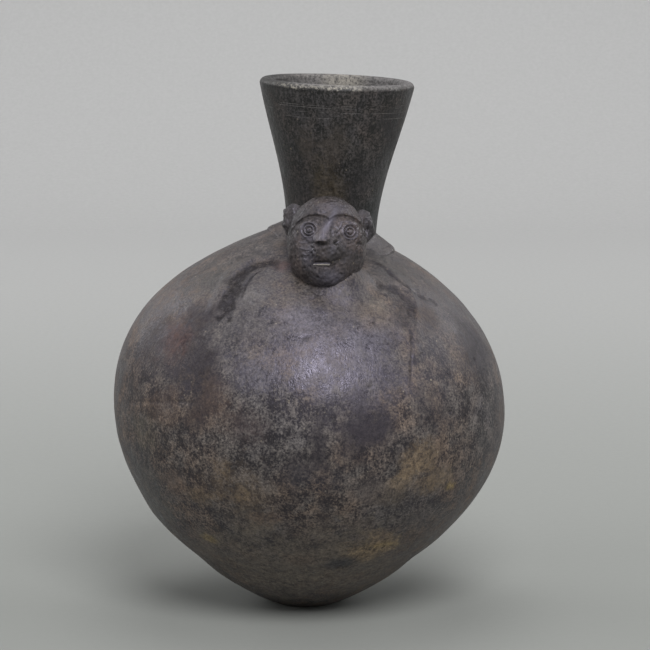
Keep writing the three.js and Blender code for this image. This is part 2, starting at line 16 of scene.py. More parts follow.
import bpy
import numpy as np
from bpy.types import bpy_prop_collection, ID, Material, Mesh, Node, NodeSocket, NodeTree, Object, World
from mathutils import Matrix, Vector


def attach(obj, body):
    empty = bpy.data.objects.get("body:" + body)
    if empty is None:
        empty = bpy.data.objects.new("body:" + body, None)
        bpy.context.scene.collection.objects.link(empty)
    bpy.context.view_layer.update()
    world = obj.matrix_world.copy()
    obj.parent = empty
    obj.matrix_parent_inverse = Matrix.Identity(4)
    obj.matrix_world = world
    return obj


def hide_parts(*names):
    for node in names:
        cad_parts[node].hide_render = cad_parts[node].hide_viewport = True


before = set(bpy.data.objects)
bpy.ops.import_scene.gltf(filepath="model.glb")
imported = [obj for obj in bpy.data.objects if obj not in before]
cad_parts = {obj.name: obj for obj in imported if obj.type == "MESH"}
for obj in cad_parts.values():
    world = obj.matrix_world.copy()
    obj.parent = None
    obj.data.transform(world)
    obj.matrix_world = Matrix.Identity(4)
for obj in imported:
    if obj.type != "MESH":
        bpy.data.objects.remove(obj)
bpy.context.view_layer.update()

logging.basicConfig(level=logging.INFO, format="%(message)s")
log = logging.getLogger("bottle")

MM = 0.001
BODY = "root"
PHOTO_WIDTH = 650
SENSOR_WIDTH = 36.0
RIGHT_ANGLE = 90.0
WHITE = (1.0, 1.0, 1.0, 1.0)
SCREEN_WHITE = 255.0
SCREEN_LIFT = 0.055
SCREEN_POWER = 2.4
DARK_SHARE = 0.04045
DARK_SLOPE = 12.92
NOISE_MIDDLE = 0.5
TINY = 1e-9
NEAR_AXIS = 1e-6
CURVE_STEPS = 400
SHOULDER_STEPS = 1200
FINE_STEPS = 2000
PLAN_ROUNDS = 8

Array = np.ndarray
Pair = tuple[float, float]
Triple = tuple[float, float, float]


class Seed(IntEnum):
    """The seeds of what is left uneven."""

    LUMPS = 3
    DENTS = 4
    GROOVES = 5
    ARM = 11
    COLLAR_EDGE = 21
    COLLAR = 22
    HEAD = 31
    KNOCKS = 32
    DIMPLES = 33
    EAR = 41
    EAR_PITTING = 44


class Side(Enum):
    """A side of the head, as seen from the front."""

    LEFT = -1
    RIGHT = 1


class Ends(Enum):
    """How the first and the last ring of a loft are closed."""

    JOINED = "the last ring meets the first"
    CAPPED = "each end ring closes on its middle"


def smoothstep(value: Array, low: float, high: float) -> Array:
    """A smooth ramp from 0 at low to 1 at high."""
    share = np.clip((np.asarray(value, float) - low) / (high - low), 0.0, 1.0)
    return share * share * (3.0 - 2.0 * share)


def bell(distance: Array, width: float) -> Array:
    """A smooth hump of height 1."""
    return np.exp(-((np.asarray(distance, float) / width) ** 2))


def unit(vectors: Array) -> Array:
    """The vectors at length 1."""
    return vectors / np.linalg.norm(vectors, axis=-1, keepdims=True)


def srgb(red: float, green: float, blue: float) -> tuple[float, float, float, float]:
    """A screen colour with channels up to 255, as the linear colour that a socket takes.

    Args:
        red: The first channel.
        green: The second.
        blue: The third.

    Returns:
        The linear colour, with full alpha.
    """

    def linear(channel: float) -> float:
        """One channel in linear light."""
        share = channel / SCREEN_WHITE
        bright = ((share + SCREEN_LIFT) / (1.0 + SCREEN_LIFT)) ** SCREEN_POWER
        return share / DARK_SLOPE if share <= DARK_SHARE else bright

    return linear(red), linear(green), linear(blue), 1.0


class SmoothNoise:
    """A seeded sum of waves in all directions, about -1 to 1, for what a hand left uneven."""

    RATES: Pair = (0.75, 1.35)

    def __init__(self, seed: int, wavelength: float, waves: int = 20) -> None:
        """Draws the waves.

        Args:
            seed: The seed of the draw.
            wavelength: The typical size of a lump.
            waves: How many waves are summed.
        """
        draw = np.random.default_rng(seed)
        self.waves = waves
        spread = draw.uniform(*self.RATES, (waves, 1))
        self.rates = unit(draw.normal(size=(waves, 3))) * 2.0 * math.pi * spread / wavelength
        self.phases = draw.uniform(0.0, 2.0 * math.pi, waves)

    def at(self, points: Array) -> Array:
        """The noise at points."""
        return np.sin(points @ self.rates.T + self.phases).sum(axis=-1) / math.sqrt(self.waves)


@dataclass(frozen=True)
class Bezier:
    """A cubic curve in a half plane through an axis, of points (radius, height), its solid on the left."""

    start: Pair | Array
    first: Pair | Array
    second: Pair | Array
    end: Pair | Array

    @cached_property
    def _controls(self) -> Array:
        """The four control points."""
        return np.array([self.start, self.first, self.second, self.end])

    def at(self, t: Array) -> Array:
        """Points of the curve."""
        t = np.asarray(t, float)[..., None]
        a, b, c, d = self._controls
        return (1 - t) ** 3 * a + 3 * (1 - t) ** 2 * t * b + 3 * (1 - t) * t**2 * c + t**3 * d

    def outward(self, t: Array) -> Array:
        """Directions straight out of the solid.

        Args:
            t: Parameters from 0 to 1.

        Returns:
            One direction for each.
        """
        t = np.asarray(t, float)[..., None]
        a, b, c, d = self._controls
        along = (1 - t) ** 2 * (b - a) + 2 * (1 - t) * t * (c - b) + t**2 * (d - c)
        return unit(np.stack([along[..., 1], -along[..., 0]], axis=-1))

    def offset(self, t: Array, out: float) -> Array:
        """Points of the curve moved outwards."""
        return self.at(t) + self.outward(t) * out

    def even(self, count: int, low: float = 0.0, high: float = 1.0) -> Array:
        """Parameters that stand evenly along the curve between two of them.

        Args:
            count: How many.
            low: The first.
            high: The last.

        Returns:
            The parameters.
        """
        fine = np.linspace(low, high, CURVE_STEPS)
        steps = np.linalg.norm(np.diff(self.at(fine), axis=0), axis=-1)
        length = np.concatenate([[0.0], np.cumsum(steps)])
        return np.interp(np.linspace(0.0, length[-1], count), length, fine)

    def at_height(self, height: Array) -> Array:
        """Parameters where a curve that rises all the way passes heights."""
        fine = np.linspace(0.0, 1.0, FINE_STEPS)
        return np.interp(height, self.at(fine)[:, 1], fine)


def slope(degrees: float, length: float) -> Array:
    """A step of a length up a slope, as (radius, height)."""
    return length * np.array([math.cos(math.radians(degrees)), math.sin(math.radians(degrees))])


def rotated(first: Array, second: Array, degrees: float) -> tuple[Array, Array]:
    """Two coordinates turned in their plane, from the first towards the second."""
    cosine, sine = math.cos(math.radians(degrees)), math.sin(math.radians(degrees))
    return first * cosine - second * sine, first * sine + second * cosine


def smooth_path(points: Array, steps: int = 6) -> Array:
    """A Catmull-Rom path through points, with some steps between each two.

    Args:
        points: The corners that it passes.
        steps: How many pieces a stretch is cut into.

    Returns:
        The points of the path.
    """
    padded = np.vstack([2 * points[0] - points[1], points, 2 * points[-1] - points[-2]])
    made = []
    for i in range(1, len(padded) - 2):
        a, b, c, d = padded[i - 1 : i + 3]
        square, cube = 2 * a - 5 * b + 4 * c - d, 3 * b - a - 3 * c + d
        for t in np.arange(steps) / steps:
            made.append(0.5 * (2 * b + (c - a) * t + square * t**2 + cube * t**3))
    made.append(points[-1])
    return np.array(made)


def distance_to_path(points: Array, path: Array) -> tuple[Array, Array]:
    """How far points are from a path.

    Args:
        points: Any array of points.
        path: The corners of the path.

    Returns:
        The distance of each point, and the share of the path where its nearest place is.
    """
    best = np.full(points.shape[:-1], np.inf)
    share = np.zeros(points.shape[:-1])
    for i, (a, b) in enumerate(zip(path[:-1], path[1:])):
        step = b - a
        along = np.clip(((points - a) @ step) / (step @ step), 0.0, 1.0)
        distance = np.linalg.norm(points - (a + along[..., None] * step), axis=-1)
        nearer = distance < best
        best = np.where(nearer, distance, best)
        share = np.where(nearer, (i + along) / (len(path) - 1), share)
    return best, share


def linked(name: str, data: ID) -> Object:
    """A new object in the scene."""
    made = bpy.data.objects.new(name, data)
    bpy.context.scene.collection.objects.link(made)
    return made


def loft(
    name: str, rings: Array, ends: Ends, clay: Material, sharp: float = 40.0, **attributes: Array
) -> Object:
    """A closed piece through rings of points, in millimetres.

    Args:
        name: The name of the piece.
        rings: Points, as an array (ring, point, 3). Each ring closes on itself.
        ends: How the end rings are closed.
        clay: The material.
        sharp: Edges that fold by more than this, in degrees, stay crisp.
        **attributes: A value for each point, kept on the mesh for its material.

    Returns:
        The piece, in metres, with its faces outwards.
    """
    count, sides, _ = rings.shape
    index = np.arange(count * sides).reshape(count, sides)
    here, following = index[:-1], index[1:]
    if ends is Ends.JOINED:
        here, following = index, np.roll(index, -1, 0)
    corners = [here, np.roll(here, -1, 1), np.roll(following, -1, 1), following]
    quads = np.stack(corners, axis=-1).reshape(-1, 4)
    points = rings.reshape(-1, 3)
    faces = quads.tolist()
    if ends is Ends.CAPPED:
        points = np.vstack([points, rings[0].mean(axis=0), rings[-1].mean(axis=0)])
        first, last = count * sides, count * sides + 1
        for j in range(sides):
            k = (j + 1) % sides
            faces.append([first, int(index[0, k]), int(index[0, j])])
            faces.append([last, int(index[-1, j]), int(index[-1, k])])
    a, b, c, d = np.moveaxis(points[quads], 1, 0)
    volume = (a * (np.cross(b, c) + np.cross(c, d))).sum()
    if volume < 0:
        faces = [face[::-1] for face in faces]
    mesh = bpy.data.meshes.new(name)
    mesh.from_pydata((points * MM).tolist(), [], faces)
    mesh.shade_smooth()
    mesh.set_sharp_from_angle(angle=math.radians(sharp))
    for label, values in attributes.items():
        data = np.zeros(len(points), np.float32)
        data[: count * sides] = values.reshape(-1)
        mesh.attributes.new(label, "FLOAT", "POINT").data.foreach_set("value", data)
    mesh.update()
    mesh.materials.append(clay)
    return linked(name, mesh)


def pad(
    name: str, top: Array, root: Array, ends: Ends, clay: Material, sharp: float,
    dirt: Array | None = None,
) -> Object:
    """A piece of clay pressed on the wall: rings that run over its top and back through its root.

    Args:
        name: The name of the piece.
        top: Points of the free side.
        root: Points of the side in the wall.
        ends: How the end rings are closed.
        clay: The material.
        sharp: Edges that fold by more than this, in degrees, stay crisp.
        dirt: The dirt and painted shade on the free side, if there is any.

    Returns:
        The piece.
    """
    rings = np.concatenate([top, root[:, ::-1]], axis=1)
    stain = np.zeros(rings.shape[:2])
    if dirt is not None:
        stain[:, : top.shape[1]] = dirt
    return loft(name, rings, ends, clay, sharp, dirt=stain)


Value = Union["Wire", float, int]


def operation(kind: str, swapped: bool = False) -> Callable[..., "Wire"]:
    """A method of a wire that adds a Math node.

    Args:
        kind: The node's operation.
        swapped: Whether the wire is the second value.

    Returns:
        The method.
    """

    def method(wire: "Wire", *others: Value) -> "Wire":
        """The operation on the wire and others."""
        values = (*others, wire) if swapped else (wire, *others)
        return wire.nodes.add("ShaderNodeMath", {"operation": kind}, dict(enumerate(values))).out()

    return method


class Wire:
    """A node's output that takes part in Python arithmetic. Each operation adds a Math node."""

    __add__ = __radd__ = operation("ADD")
    __sub__ = operation("SUBTRACT")
    __rsub__ = operation("SUBTRACT", swapped=True)
    __mul__ = __rmul__ = operation("MULTIPLY")
    __pow__ = operation("POWER")
    sine = operation("SINE")
    cosine = operation("COSINE")
    highest = operation("MAXIMUM")
    lowest = operation("MINIMUM")

    def __init__(self, nodes: "Nodes", socket: NodeSocket) -> None:
        """Wraps a socket of a tree."""
        self.nodes = nodes
        self.socket = socket

    def swing(self) -> "Wire":
        """A noise about 0 instead of its middle."""
        return self - NOISE_MIDDLE

    def ramp(self, low: float, high: float, smooth: bool = True) -> "Wire":
        """A ramp from 0 where this is low to 1 where it is high, which may be less than low.

        Args:
            low: Where it is 0.
            high: Where it is 1.
            smooth: Whether its ends are eased.

        Returns:
            The ramp.
        """
        start, end = (0.0, 1.0) if low < high else (1.0, 0.0)
        span = {"From Min": min(low, high), "From Max": max(low, high), "To Min": start, "To Max": end}
        settings = {"interpolation_type": "SMOOTHSTEP"}
        if not smooth:
            settings = {"interpolation_type": "LINEAR", "clamp": True}
        return self.nodes.add("ShaderNodeMapRange", settings, {"Value": self, **span}).out("Result")

    def band(self, rise: Pair, fall: Pair) -> "Wire":
        """1 between two soft edges."""
        return self.ramp(*rise) * self.ramp(*fall)


def weighted(parts: Iterable[Wire], weights: Iterable[float]) -> Wire:
    """The sum of parts, each times its weight."""
    first, *others = [part * weight for part, weight in zip(parts, weights, strict=True)]
    return sum(others, first)


class Made:
    """A node that was just added."""

    def __init__(self, nodes: "Nodes", node: Node) -> None:
        """Wraps a node of a tree."""
        self.nodes = nodes
        self.node = node

    def out(self, name: Union[str, int] = 0) -> Wire:
        """One of its outputs, by name, identifier or number."""
        return Wire(self.nodes, self.nodes.find(self.node.outputs, name))


@dataclass(frozen=True)
class Pattern:
    """A noise of about 0 to 1, with lumps of a size in millimetres. The shift is in metres."""

    size: float
    detail: float = 3.0
    roughness: float = 0.55
    stretch: Triple | None = None
    shift: Triple | None = None


class Nodes:
    """A node tree that is written as expressions."""

    SOCKETS = (
        (int, "NodeSocketInt"), (float, "NodeSocketFloat"), (tuple, "NodeSocketVector"),
        (Material, "NodeSocketMaterial"), (Mesh, "NodeSocketGeometry"),
    )

    def __init__(self, tree: NodeTree) -> None:
        """Wraps a tree."""
        self.tree = tree

    @classmethod
    def emptied(cls, owner: Union[Material, World]) -> "Nodes":
        """The tree of a new material or world, without its first nodes."""
        owner.use_nodes = True
        owner.node_tree.nodes.clear()
        return cls(owner.node_tree)

    @classmethod
    def group(cls, name: str, values: dict) -> tuple["Nodes", Made]:
        """A new group of geometry nodes.

        Args:
            name: The name of the group.
            values: A value for each named input, which gives the input its kind.

        Returns:
            The group, and the node that holds its inputs.
        """
        tree = bpy.data.node_groups.new(name, "GeometryNodeTree")
        for label, value in values.items():
            kind = next(socket for python_kind, socket in cls.SOCKETS if isinstance(value, python_kind))
            tree.interface.new_socket(label, in_out="INPUT", socket_type=kind)
        tree.interface.new_socket("Geometry", in_out="OUTPUT", socket_type="NodeSocketGeometry")
        nodes = cls(tree)
        return nodes, nodes.add("NodeGroupInput")

    @staticmethod
    def find(sockets: bpy_prop_collection, name: Union[str, int]) -> NodeSocket:
        """A socket by number, or by identifier, or else by name.

        Args:
            sockets: A node's inputs or outputs.
            name: The number, identifier or name.

        Returns:
            The socket.
        """
        if isinstance(name, int):
            return sockets[name]
        for socket in sockets:
            if socket.identifier == name:
                return socket
        return next(socket for socket in sockets if socket.name == name)

    def add(self, kind: str, settings: dict | None = None, inputs: dict | None = None) -> Made:
        """Adds a node.

        Args:
            kind: The node's type.
            settings: Its properties, set first.
            inputs: Values or wires for its sockets.

        Returns:
            The node.
        """
        node = self.tree.nodes.new(kind)
        for key, value in (settings or {}).items():
            setattr(node, key, value)
        for key, value in (inputs or {}).items():
            socket = self.find(node.inputs, key)
            if isinstance(value, Wire):
                self.tree.links.new(value.socket, socket)
            else:
                socket.default_value = value
        return Made(self, node)

    def vector(self, kind: str, *values: Union[Wire, Triple]) -> Wire:
        """A Vector Math node on vectors."""
        made = self.add("ShaderNodeVectorMath", {"operation": kind}, dict(enumerate(values)))
        return made.out("Value" if kind in ("LENGTH", "DOT_PRODUCT") else "Vector")

    def parts(self, vector: Wire) -> Made:
        """A vector's X, Y and Z."""
        return self.add("ShaderNodeSeparateXYZ", None, {"Vector": vector})

    def joined(self, x: Wire, y: Wire, z: Wire) -> Wire:
        """A vector of three parts."""
        return self.add("ShaderNodeCombineXYZ", None, {"X": x, "Y": y, "Z": z}).out()

    def deliver(self, geometry: Wire, clay: Wire) -> None:
        """Ends a group of geometry nodes with plain geometry, dressed in a material."""
        whole = self.add("GeometryNodeRealizeInstances", None, {"Geometry": geometry}).out()
        dressed = self.add("GeometryNodeSetMaterial", None, {"Geometry": whole, "Material": clay}).out()
        self.add("NodeGroupOutput", None, {"Geometry": dressed})

    def mix(
        self, factor: Value, low: Union[Wire, tuple], high: Union[Wire, tuple], blend: str = "MIX"
    ) -> Wire:
        """A mix of two colours."""
        settings = {"data_type": "RGBA", "blend_type": blend, "clamp_factor": True}
        inputs = {"Factor_Float": factor, "A_Color": low, "B_Color": high}
        return self.add("ShaderNodeMix", settings, inputs).out("Result_Color")

    def noise(self, place: Wire, pattern: Pattern) -> Wire:
        """A noise at a place.

        Args:
            place: Coordinates in metres.
            pattern: The noise's kind.

        Returns:
            The noise.
        """
        if pattern.stretch is not None:
            place = self.vector("MULTIPLY", place, pattern.stretch)
        if pattern.shift is not None:
            place = self.vector("ADD", place, pattern.shift)
        scale = 1.0 / (pattern.size * MM)
        inputs = {"Vector": place, "Scale": scale, "Detail": pattern.detail, "Roughness": pattern.roughness}
        return self.add("ShaderNodeTexNoise", {"noise_dimensions": "3D"}, inputs).out("Fac")

    def attribute(self, name: str) -> Wire:
        """A value kept on the mesh."""
        settings = {"attribute_type": "GEOMETRY", "attribute_name": name}
        return self.add("ShaderNodeAttribute", settings).out("Fac")


@dataclass(frozen=True)
class BodyForm:
    """The round body, with the same driving dimensions as the CAD source."""

    foot_radius: float = 12.0
    foot_angle: float = 20.6
    foot_pull: float = 24.2
    belly_radius: float = 76.4
    belly_height: float = 78.0
    belly_pull_down: float = 37.9
    belly_pull_up: float = 43.5
    crown_radius: float = 16.0
    crown_height: float = 146.9
    crown_angle: float = 22.0
    crown_pull: float = 21.0
    wall: float = 5.0
    floor: float = 7.0
    lean: float = 2.1
    shift: float = 1.45
    lean_eased: float = 0.53
    easing_drop: float = 37.0
    bulge_out: float = 1.1
    bulge_level: float = 0.46
    bulge_spread: float = 8.0
    waist_in: float = 0.9
    waist_level: float = 0.26
    waist_spread: float = 5.0
    seam_rise: float = 3.0

    @cached_property
    def bowl(self) -> Bezier:
        """The lower wall's outside.

        Returns:
            The curve.
        """
        edge = np.array([self.foot_radius, 0.0])
        belly = np.array([self.belly_radius, self.belly_height])
        leaving = edge + slope(self.foot_angle, self.foot_pull)
        meeting = belly - (0.0, self.belly_pull_down)
        return Bezier(edge, leaving, meeting, belly)

    @cached_property
    def dome(self) -> Bezier:
        """The shoulder's outside.

        Returns:
            The curve.
        """
        crown = np.array([self.crown_radius, self.crown_height])
        belly = np.array([self.belly_radius, self.belly_height])
        leaving = belly + (0.0, self.belly_pull_up)
        meeting = crown + slope(-self.crown_angle, self.crown_pull)
        return Bezier(belly, leaving, meeting, crown)

    @cached_property
    def crown(self) -> Bezier:
        """The top inside the neck, which rises to a low point on the axis.

        Returns:
            The curve.
        """
        crown = np.array([self.crown_radius, self.crown_height])
        rise = self.crown_radius / 2 * math.tan(math.radians(self.crown_angle))
        corner = np.array([self.crown_radius / 2, self.crown_height + rise])
        top = np.array([0.0, self.crown_height + rise])
        return Bezier(crown, crown / 3 + corner * 2 / 3, top / 3 + corner * 2 / 3, top)

    @cached_property
    def _upper(self) -> tuple[Array, Array, Array]:
        """The radii, heights and directions out of close points along the shoulder and the crown.

        Returns:
            One array of each.
        """
        fine = np.linspace(0.0, 1.0, SHOULDER_STEPS)
        points = np.vstack([self.dome.at(fine), self.crown.at(fine[1:])])
        outs = np.vstack([self.dome.outward(fine), self.crown.outward(fine[1:])])
        return points[:, 0], points[:, 1], outs

    def settle(self, points: Array) -> Array:
        """Where points of the round body came to stand when the wet clay slumped.

        Args:
            points: Points of the body before it slumped.

        Returns:
            Their places after it.
        """
        x, y, z = np.moveaxis(points, -1, 0)
        radius = np.maximum(np.hypot(x, y), TINY)
        side = np.clip(-x / radius, 0.0, 1.0)
        bulge = self.bulge_out * side**2 * bell(z - self.bulge_level * self.belly_height, self.bulge_spread)
        waist = self.waist_in * bell(z - self.waist_level * self.belly_height, self.waist_spread)
        swell = np.where(radius > NEAR_AXIS, 1.0 + (bulge - waist) / radius, 1.0)
        share = smoothstep(z, 0.0, self.belly_height)
        eased = 1.0 - self.lean_eased * smoothstep(z, self.crown_height - self.easing_drop, self.crown_height)
        lean = math.radians(self.lean) * share * eased
        x = x * swell
        return np.stack([x * np.cos(lean) + self.shift * share, y * swell, z - x * np.sin(lean)], axis=-1)

    def rings(self, outline: Array, azimuths: Array) -> Array:
        """An outline of (radius, height) turned about the axis and settled.

        Args:
            outline: Points of the outline.
            azimuths: Radians from the front.

        Returns:
            One ring of points for each point of the outline.
        """
        radius = outline[:, :1]
        height = outline[:, 1:] + 0.0 * azimuths
        points = np.stack([radius * np.sin(azimuths), -radius * np.cos(azimuths), height], axis=-1)
        return self.settle(points)

    def wall_at(self, azimuth: Array, height: Array) -> Array:
        """Places on the outside, from degrees round the body from the front and a height.

        Args:
            azimuth: The degrees.
            height: The height before the body settled.

        Returns:
            The places.
        """
        height = np.asarray(height, float)
        low = self.bowl.at(self.bowl.at_height(height))
        high = self.dome.at(self.dome.at_height(height))
        at = np.where((height < self.belly_height)[..., None], low, high)
        turn = np.radians(azimuth)
        places = [at[..., 0] * np.sin(turn), -at[..., 0] * np.cos(turn), at[..., 1]]
        return self.settle(np.stack(places, axis=-1))

    def shoulder_at(self, x: Array, y: Array) -> tuple[Array, Array]:
        """Places on the outside over points of the plan, above the belly.

        Args:
            x: The points' first coordinate.
            y: And the second.

        Returns:
            The places, and the directions straight out of the wall there.
        """
        radii, heights, outs = self._upper
        plan_x, plan_y = np.array(x, float), np.array(y, float)
        for _ in range(PLAN_ROUNDS):
            radius = np.hypot(plan_x, plan_y)
            turn = np.arctan2(plan_x, -plan_y)
            heading = np.stack([np.sin(turn), -np.cos(turn)], axis=-1)
            height = np.interp(-radius, -radii, heights)
            foot = self.settle(np.concatenate([radius[..., None] * heading, height[..., None]], axis=-1))
            plan_x = plan_x + x - foot[..., 0]
            plan_y = plan_y + y - foot[..., 1]
        out_r = np.interp(-radius, -radii, outs[:, 0])[..., None]
        out_z = np.interp(-radius, -radii, outs[:, 1])[..., None]
        top = np.concatenate([(radius[..., None] + out_r) * heading, height[..., None] + out_z], axis=-1)
        return foot, unit(self.settle(top) - foot)


@dataclass(frozen=True)
class Groove:
    """A line pressed into the wall, along (degrees from the front, height) pairs."""

    path: tuple[Pair, ...]
    width: float
    depth: float
    # How dark the groove is painted, with dirt and with painted shade in its hollow.
    dirt: float = 0.0


@dataclass(frozen=True)
class WallMarks:
    """What hands and tools left on the body: grooves along the arms, pits and soft unevenness."""

    form: BodyForm
    uneven: float = 0.32
    uneven_swing: float = 0.4
    uneven_size: float = 46.0
    dents: float = 0.05
    dent_size: float = 11.5
    foot_calm: float = 12.0
    seam_dip: float = 0.08
    seam_middle: float = -62.0
    seam_spread: float = 26.0
    seam_faint: float = 0.25
    seam_above: float = 2.0
    seam_width: float = 0.7
    waver: float = 0.3
    waver_size: float = 7.0
    groove_start: float = 0.25
    groove_end: float = 0.8
    groove_dirt: Pair = (0.4, 1.75)
    groove_clean: float = 0.9
    # The grooves are painted dark: dirt, and painted shade in their hollows along the arms.
    grooves: tuple[Groove, ...] = (
        Groove(((-17, 139), (-22, 138.6), (-29.7, 137.6), (-35, 136), (-37, 133)), 2.0, 0.5, 1.0),
        Groove(((-36, 137), (-36, 134), (-35, 131), (-33.5, 128), (-32, 124), (-31.8, 120)), 2.7, 0.45, 1.0),
        Groove(((-31.7, 125), (-31.8, 121.3), (-34.5, 118)), 1.2, 0.3, 1.0),
        Groove(((-31.5, 125), (-30, 121), (-28, 118)), 1.0, 0.3, 0.9),
        Groove(
            ((-25, 136.4), (-28.7, 135.2), (-30.1, 133.3), (-30.1, 131.2), (-29.4, 128.9), (-27.6, 124)),
            0.6, 0.35, 0.95,
        ),
        Groove(
            ((43, 140.6), (45.5, 138.6), (46.7, 137), (47.6, 134), (49.4, 129.9), (53, 127), (60, 124.6)),
            0.75, 0.4, 0.75,
        ),
        Groove(
            ((34, 136), (39.5, 134.7), (44, 133), (46.9, 130.8), (48.5, 127.4), (45.3, 123), (40, 117)),
            0.7, -0.45,
        ),
        Groove(
            ((31, 132.6), (35.1, 131.9), (39, 130.5), (42.4, 128.7), (43.4, 125.8), (41.6, 122), (38, 117)),
            1.7, 0.6, 0.7,
        ),
        Groove(((42, 128), (40, 124.7), (37.5, 121), (34, 116)), 3.4, 0.15, 0.5),
        Groove(
            ((40, 119.5), (36.9, 115.6), (34.7, 110.7), (33.2, 106.7), (31.8, 102.7), (31, 96)),
            0.55, 0.25, 0.7,
        ),
        Groove(((58, 126.4), (59, 124.8), (59.5, 123)), 0.7, 0.35, 0.4),
        Groove(((-68, 81.5), (-60, 84), (-50, 86.5), (-38, 89), (-30, 90)), 0.55, 0.14, 0.2),
    )
    pits: tuple[Triple, ...] = (
        (-1.0, 115.4, 1.0), (-24.0, 113.0, 0.7), (31.0, 121.0, 0.7), (18.0, 99.0, 0.6), (-12.0, 71.0, 0.7),
        (44.0, 88.0, 0.6), (-46.0, 66.0, 0.8), (63.0, 104.0, 0.7), (140.0, 96.0, 0.9), (-150.0, 70.0, 0.8),
        (178.0, 118.0, 0.8), (100.0, 60.0, 0.7), (-105.0, 108.0, 0.8),
    )
    pit_depth: float = 0.5
    pit_dirt: float = 0.8

    def relief(self, points: Array) -> tuple[Array, Array]:
        """How far the wall stands out at places, never more than the bare form, and how dark it is painted
        there, with dirt and painted shade.

        Args:
            points: Places on the bare form.

        Returns:
            The relief and the dirt, each one number for each place.
        """
        waver = 1.0 + self.waver * SmoothNoise(Seed.GROOVES, self.waver_size).at(points)
        lumps = SmoothNoise(Seed.LUMPS, self.uneven_size).at(points)
        dents = SmoothNoise(Seed.DENTS, self.dent_size).at(points)
        relief = -self.uneven * (0.5 + self.uneven_swing * np.tanh(lumps))
        relief = relief - self.dents * (1.0 + np.tanh(dents))
        relief = relief * smoothstep(points[..., 2], 0.0, self.foot_calm)
        side = bell(points[..., 0] - self.seam_middle, self.seam_spread) + self.seam_faint
        above = points[..., 2] - self.form.belly_height - self.seam_above
        relief = relief - self.seam_dip * side * bell(above, self.seam_width)
        dirt = np.zeros(points.shape[:-1])
        for groove in self.grooves:
            azimuths, heights = np.array(groove.path, float).T
            path = smooth_path(self.form.wall_at(azimuths, heights))
            distance, share = distance_to_path(points, path)
            distance = distance * waver
            ends = smoothstep(share, 0.0, self.groove_start) * (1.0 - smoothstep(share, self.groove_end, 1.0))
            relief = relief - groove.depth * ends * bell(distance, groove.width)
            near, far = self.groove_dirt
            spread = 1.0 - smoothstep(distance, groove.width * near, groove.width * far)
            dirt = np.maximum(dirt, groove.dirt * spread * smoothstep(ends, 0.0, self.groove_clean))
        for azimuth, height, radius in self.pits:
            place = self.form.wall_at(np.array(azimuth), np.array(height))
            hollow = bell(np.linalg.norm(points - place, axis=-1), radius)
            relief = relief - self.pit_depth * hollow
            dirt = np.maximum(dirt, self.pit_dirt * hollow)
        return relief, dirt

    def marked(self, foot: Array, out: Array) -> tuple[Array, Array]:
        """Places on the bare form moved to the marked wall along their directions out, and their dirt and
        painted shade.
        """
        relief, dirt = self.relief(foot)
        return foot + out * relief[..., None], dirt

    def shoulder_at(self, x: Array, y: Array) -> tuple[Array, Array]:
        """As the form's, on the wall with its marks."""
        foot, out = self.form.shoulder_at(x, y)
        return self.marked(foot, out)[0], out


@dataclass(frozen=True)
class NeckForm:
    """The flaring neck, in its own frame: the axis is Z, and the seat level is 0."""

    body: BodyForm
    x: float = 9.9
    sunk: float = 2.9
    lean: float = 2.2
    length: float = 61.0
    radius: float = 17.4
    wall: float = 4.2
    pull: float = 21.8
    rim_radius: float = 30.2
    rim_flare: float = 11.7
    rim_pull: float = 21.7
    rim_height: float = 7.5
    lip_round: float = 2.1

    @property
    def seat(self) -> float:
        """The height of the seat level."""
        return self.body.crown_height - self.sunk

    @cached_property
    def outside(self) -> Bezier:
        """The outside of the neck, from the seat to the rim."""
        rim = np.array([self.rim_radius, self.length])
        flare = rim - slope(RIGHT_ANGLE - self.rim_flare, self.rim_pull)
        return Bezier((self.radius, 0.0), (self.radius, self.pull), flare, rim)

    def wall_at(self, azimuth: Array, level: Array) -> Array:
        """Places on the outside, from degrees round the neck from the front and a height over its seat.

        Args:
            azimuth: The degrees.
            level: The height along the neck.

        Returns:
            The places.
        """
        radius, height = self.outside.at(self.outside.at_height(level))
        turn = np.radians(azimuth)
        x, z = rotated(radius * np.sin(turn), height, -self.lean)
        return np.stack([self.x + x, -radius * np.cos(turn), self.seat + z], axis=-1)


@dataclass
class Look:
    """A surface while its nodes are written: where it is read, and what has been made of it so far."""

    nodes: Nodes
    place: Wire
    colour: Wire
    rough: Wire
    height: Wire

    def stain(self, share: Wire, colour: Triple) -> None:
        """Covers a share of the surface with a screen colour."""
        self.colour = self.nodes.mix(share, self.colour, srgb(*colour))


@dataclass(frozen=True)
class Dots:
    """Round marks such as grit or pores, one in each cell of a share of the cells."""

    channel: str
    size: float
    share: float
    softness: float
    edge: Pair
    cover: float
    fray: float = 0.3

    def mask(self, nodes: Nodes, place: Wire, grain: Wire) -> Wire:
        """Where the marks are.

        Args:
            nodes: The material's tree.
            place: Object coordinates.
            grain: Noise that frays their edges.

        Returns:
            The mask.
        """
        scale = 1.0 / (self.size * MM)
        cells = nodes.add("ShaderNodeTexVoronoi", {"feature": "F1"}, {"Vector": place, "Scale": scale})
        chance = nodes.add("ShaderNodeSeparateColor", None, {"Color": cells.out("Color")}).out(self.channel)
        chosen = chance.ramp(1.0 - self.share, 1.0 - self.share + self.softness)
        return (cells.out("Distance") + grain.swing() * self.fray).ramp(*self.edge) * chosen


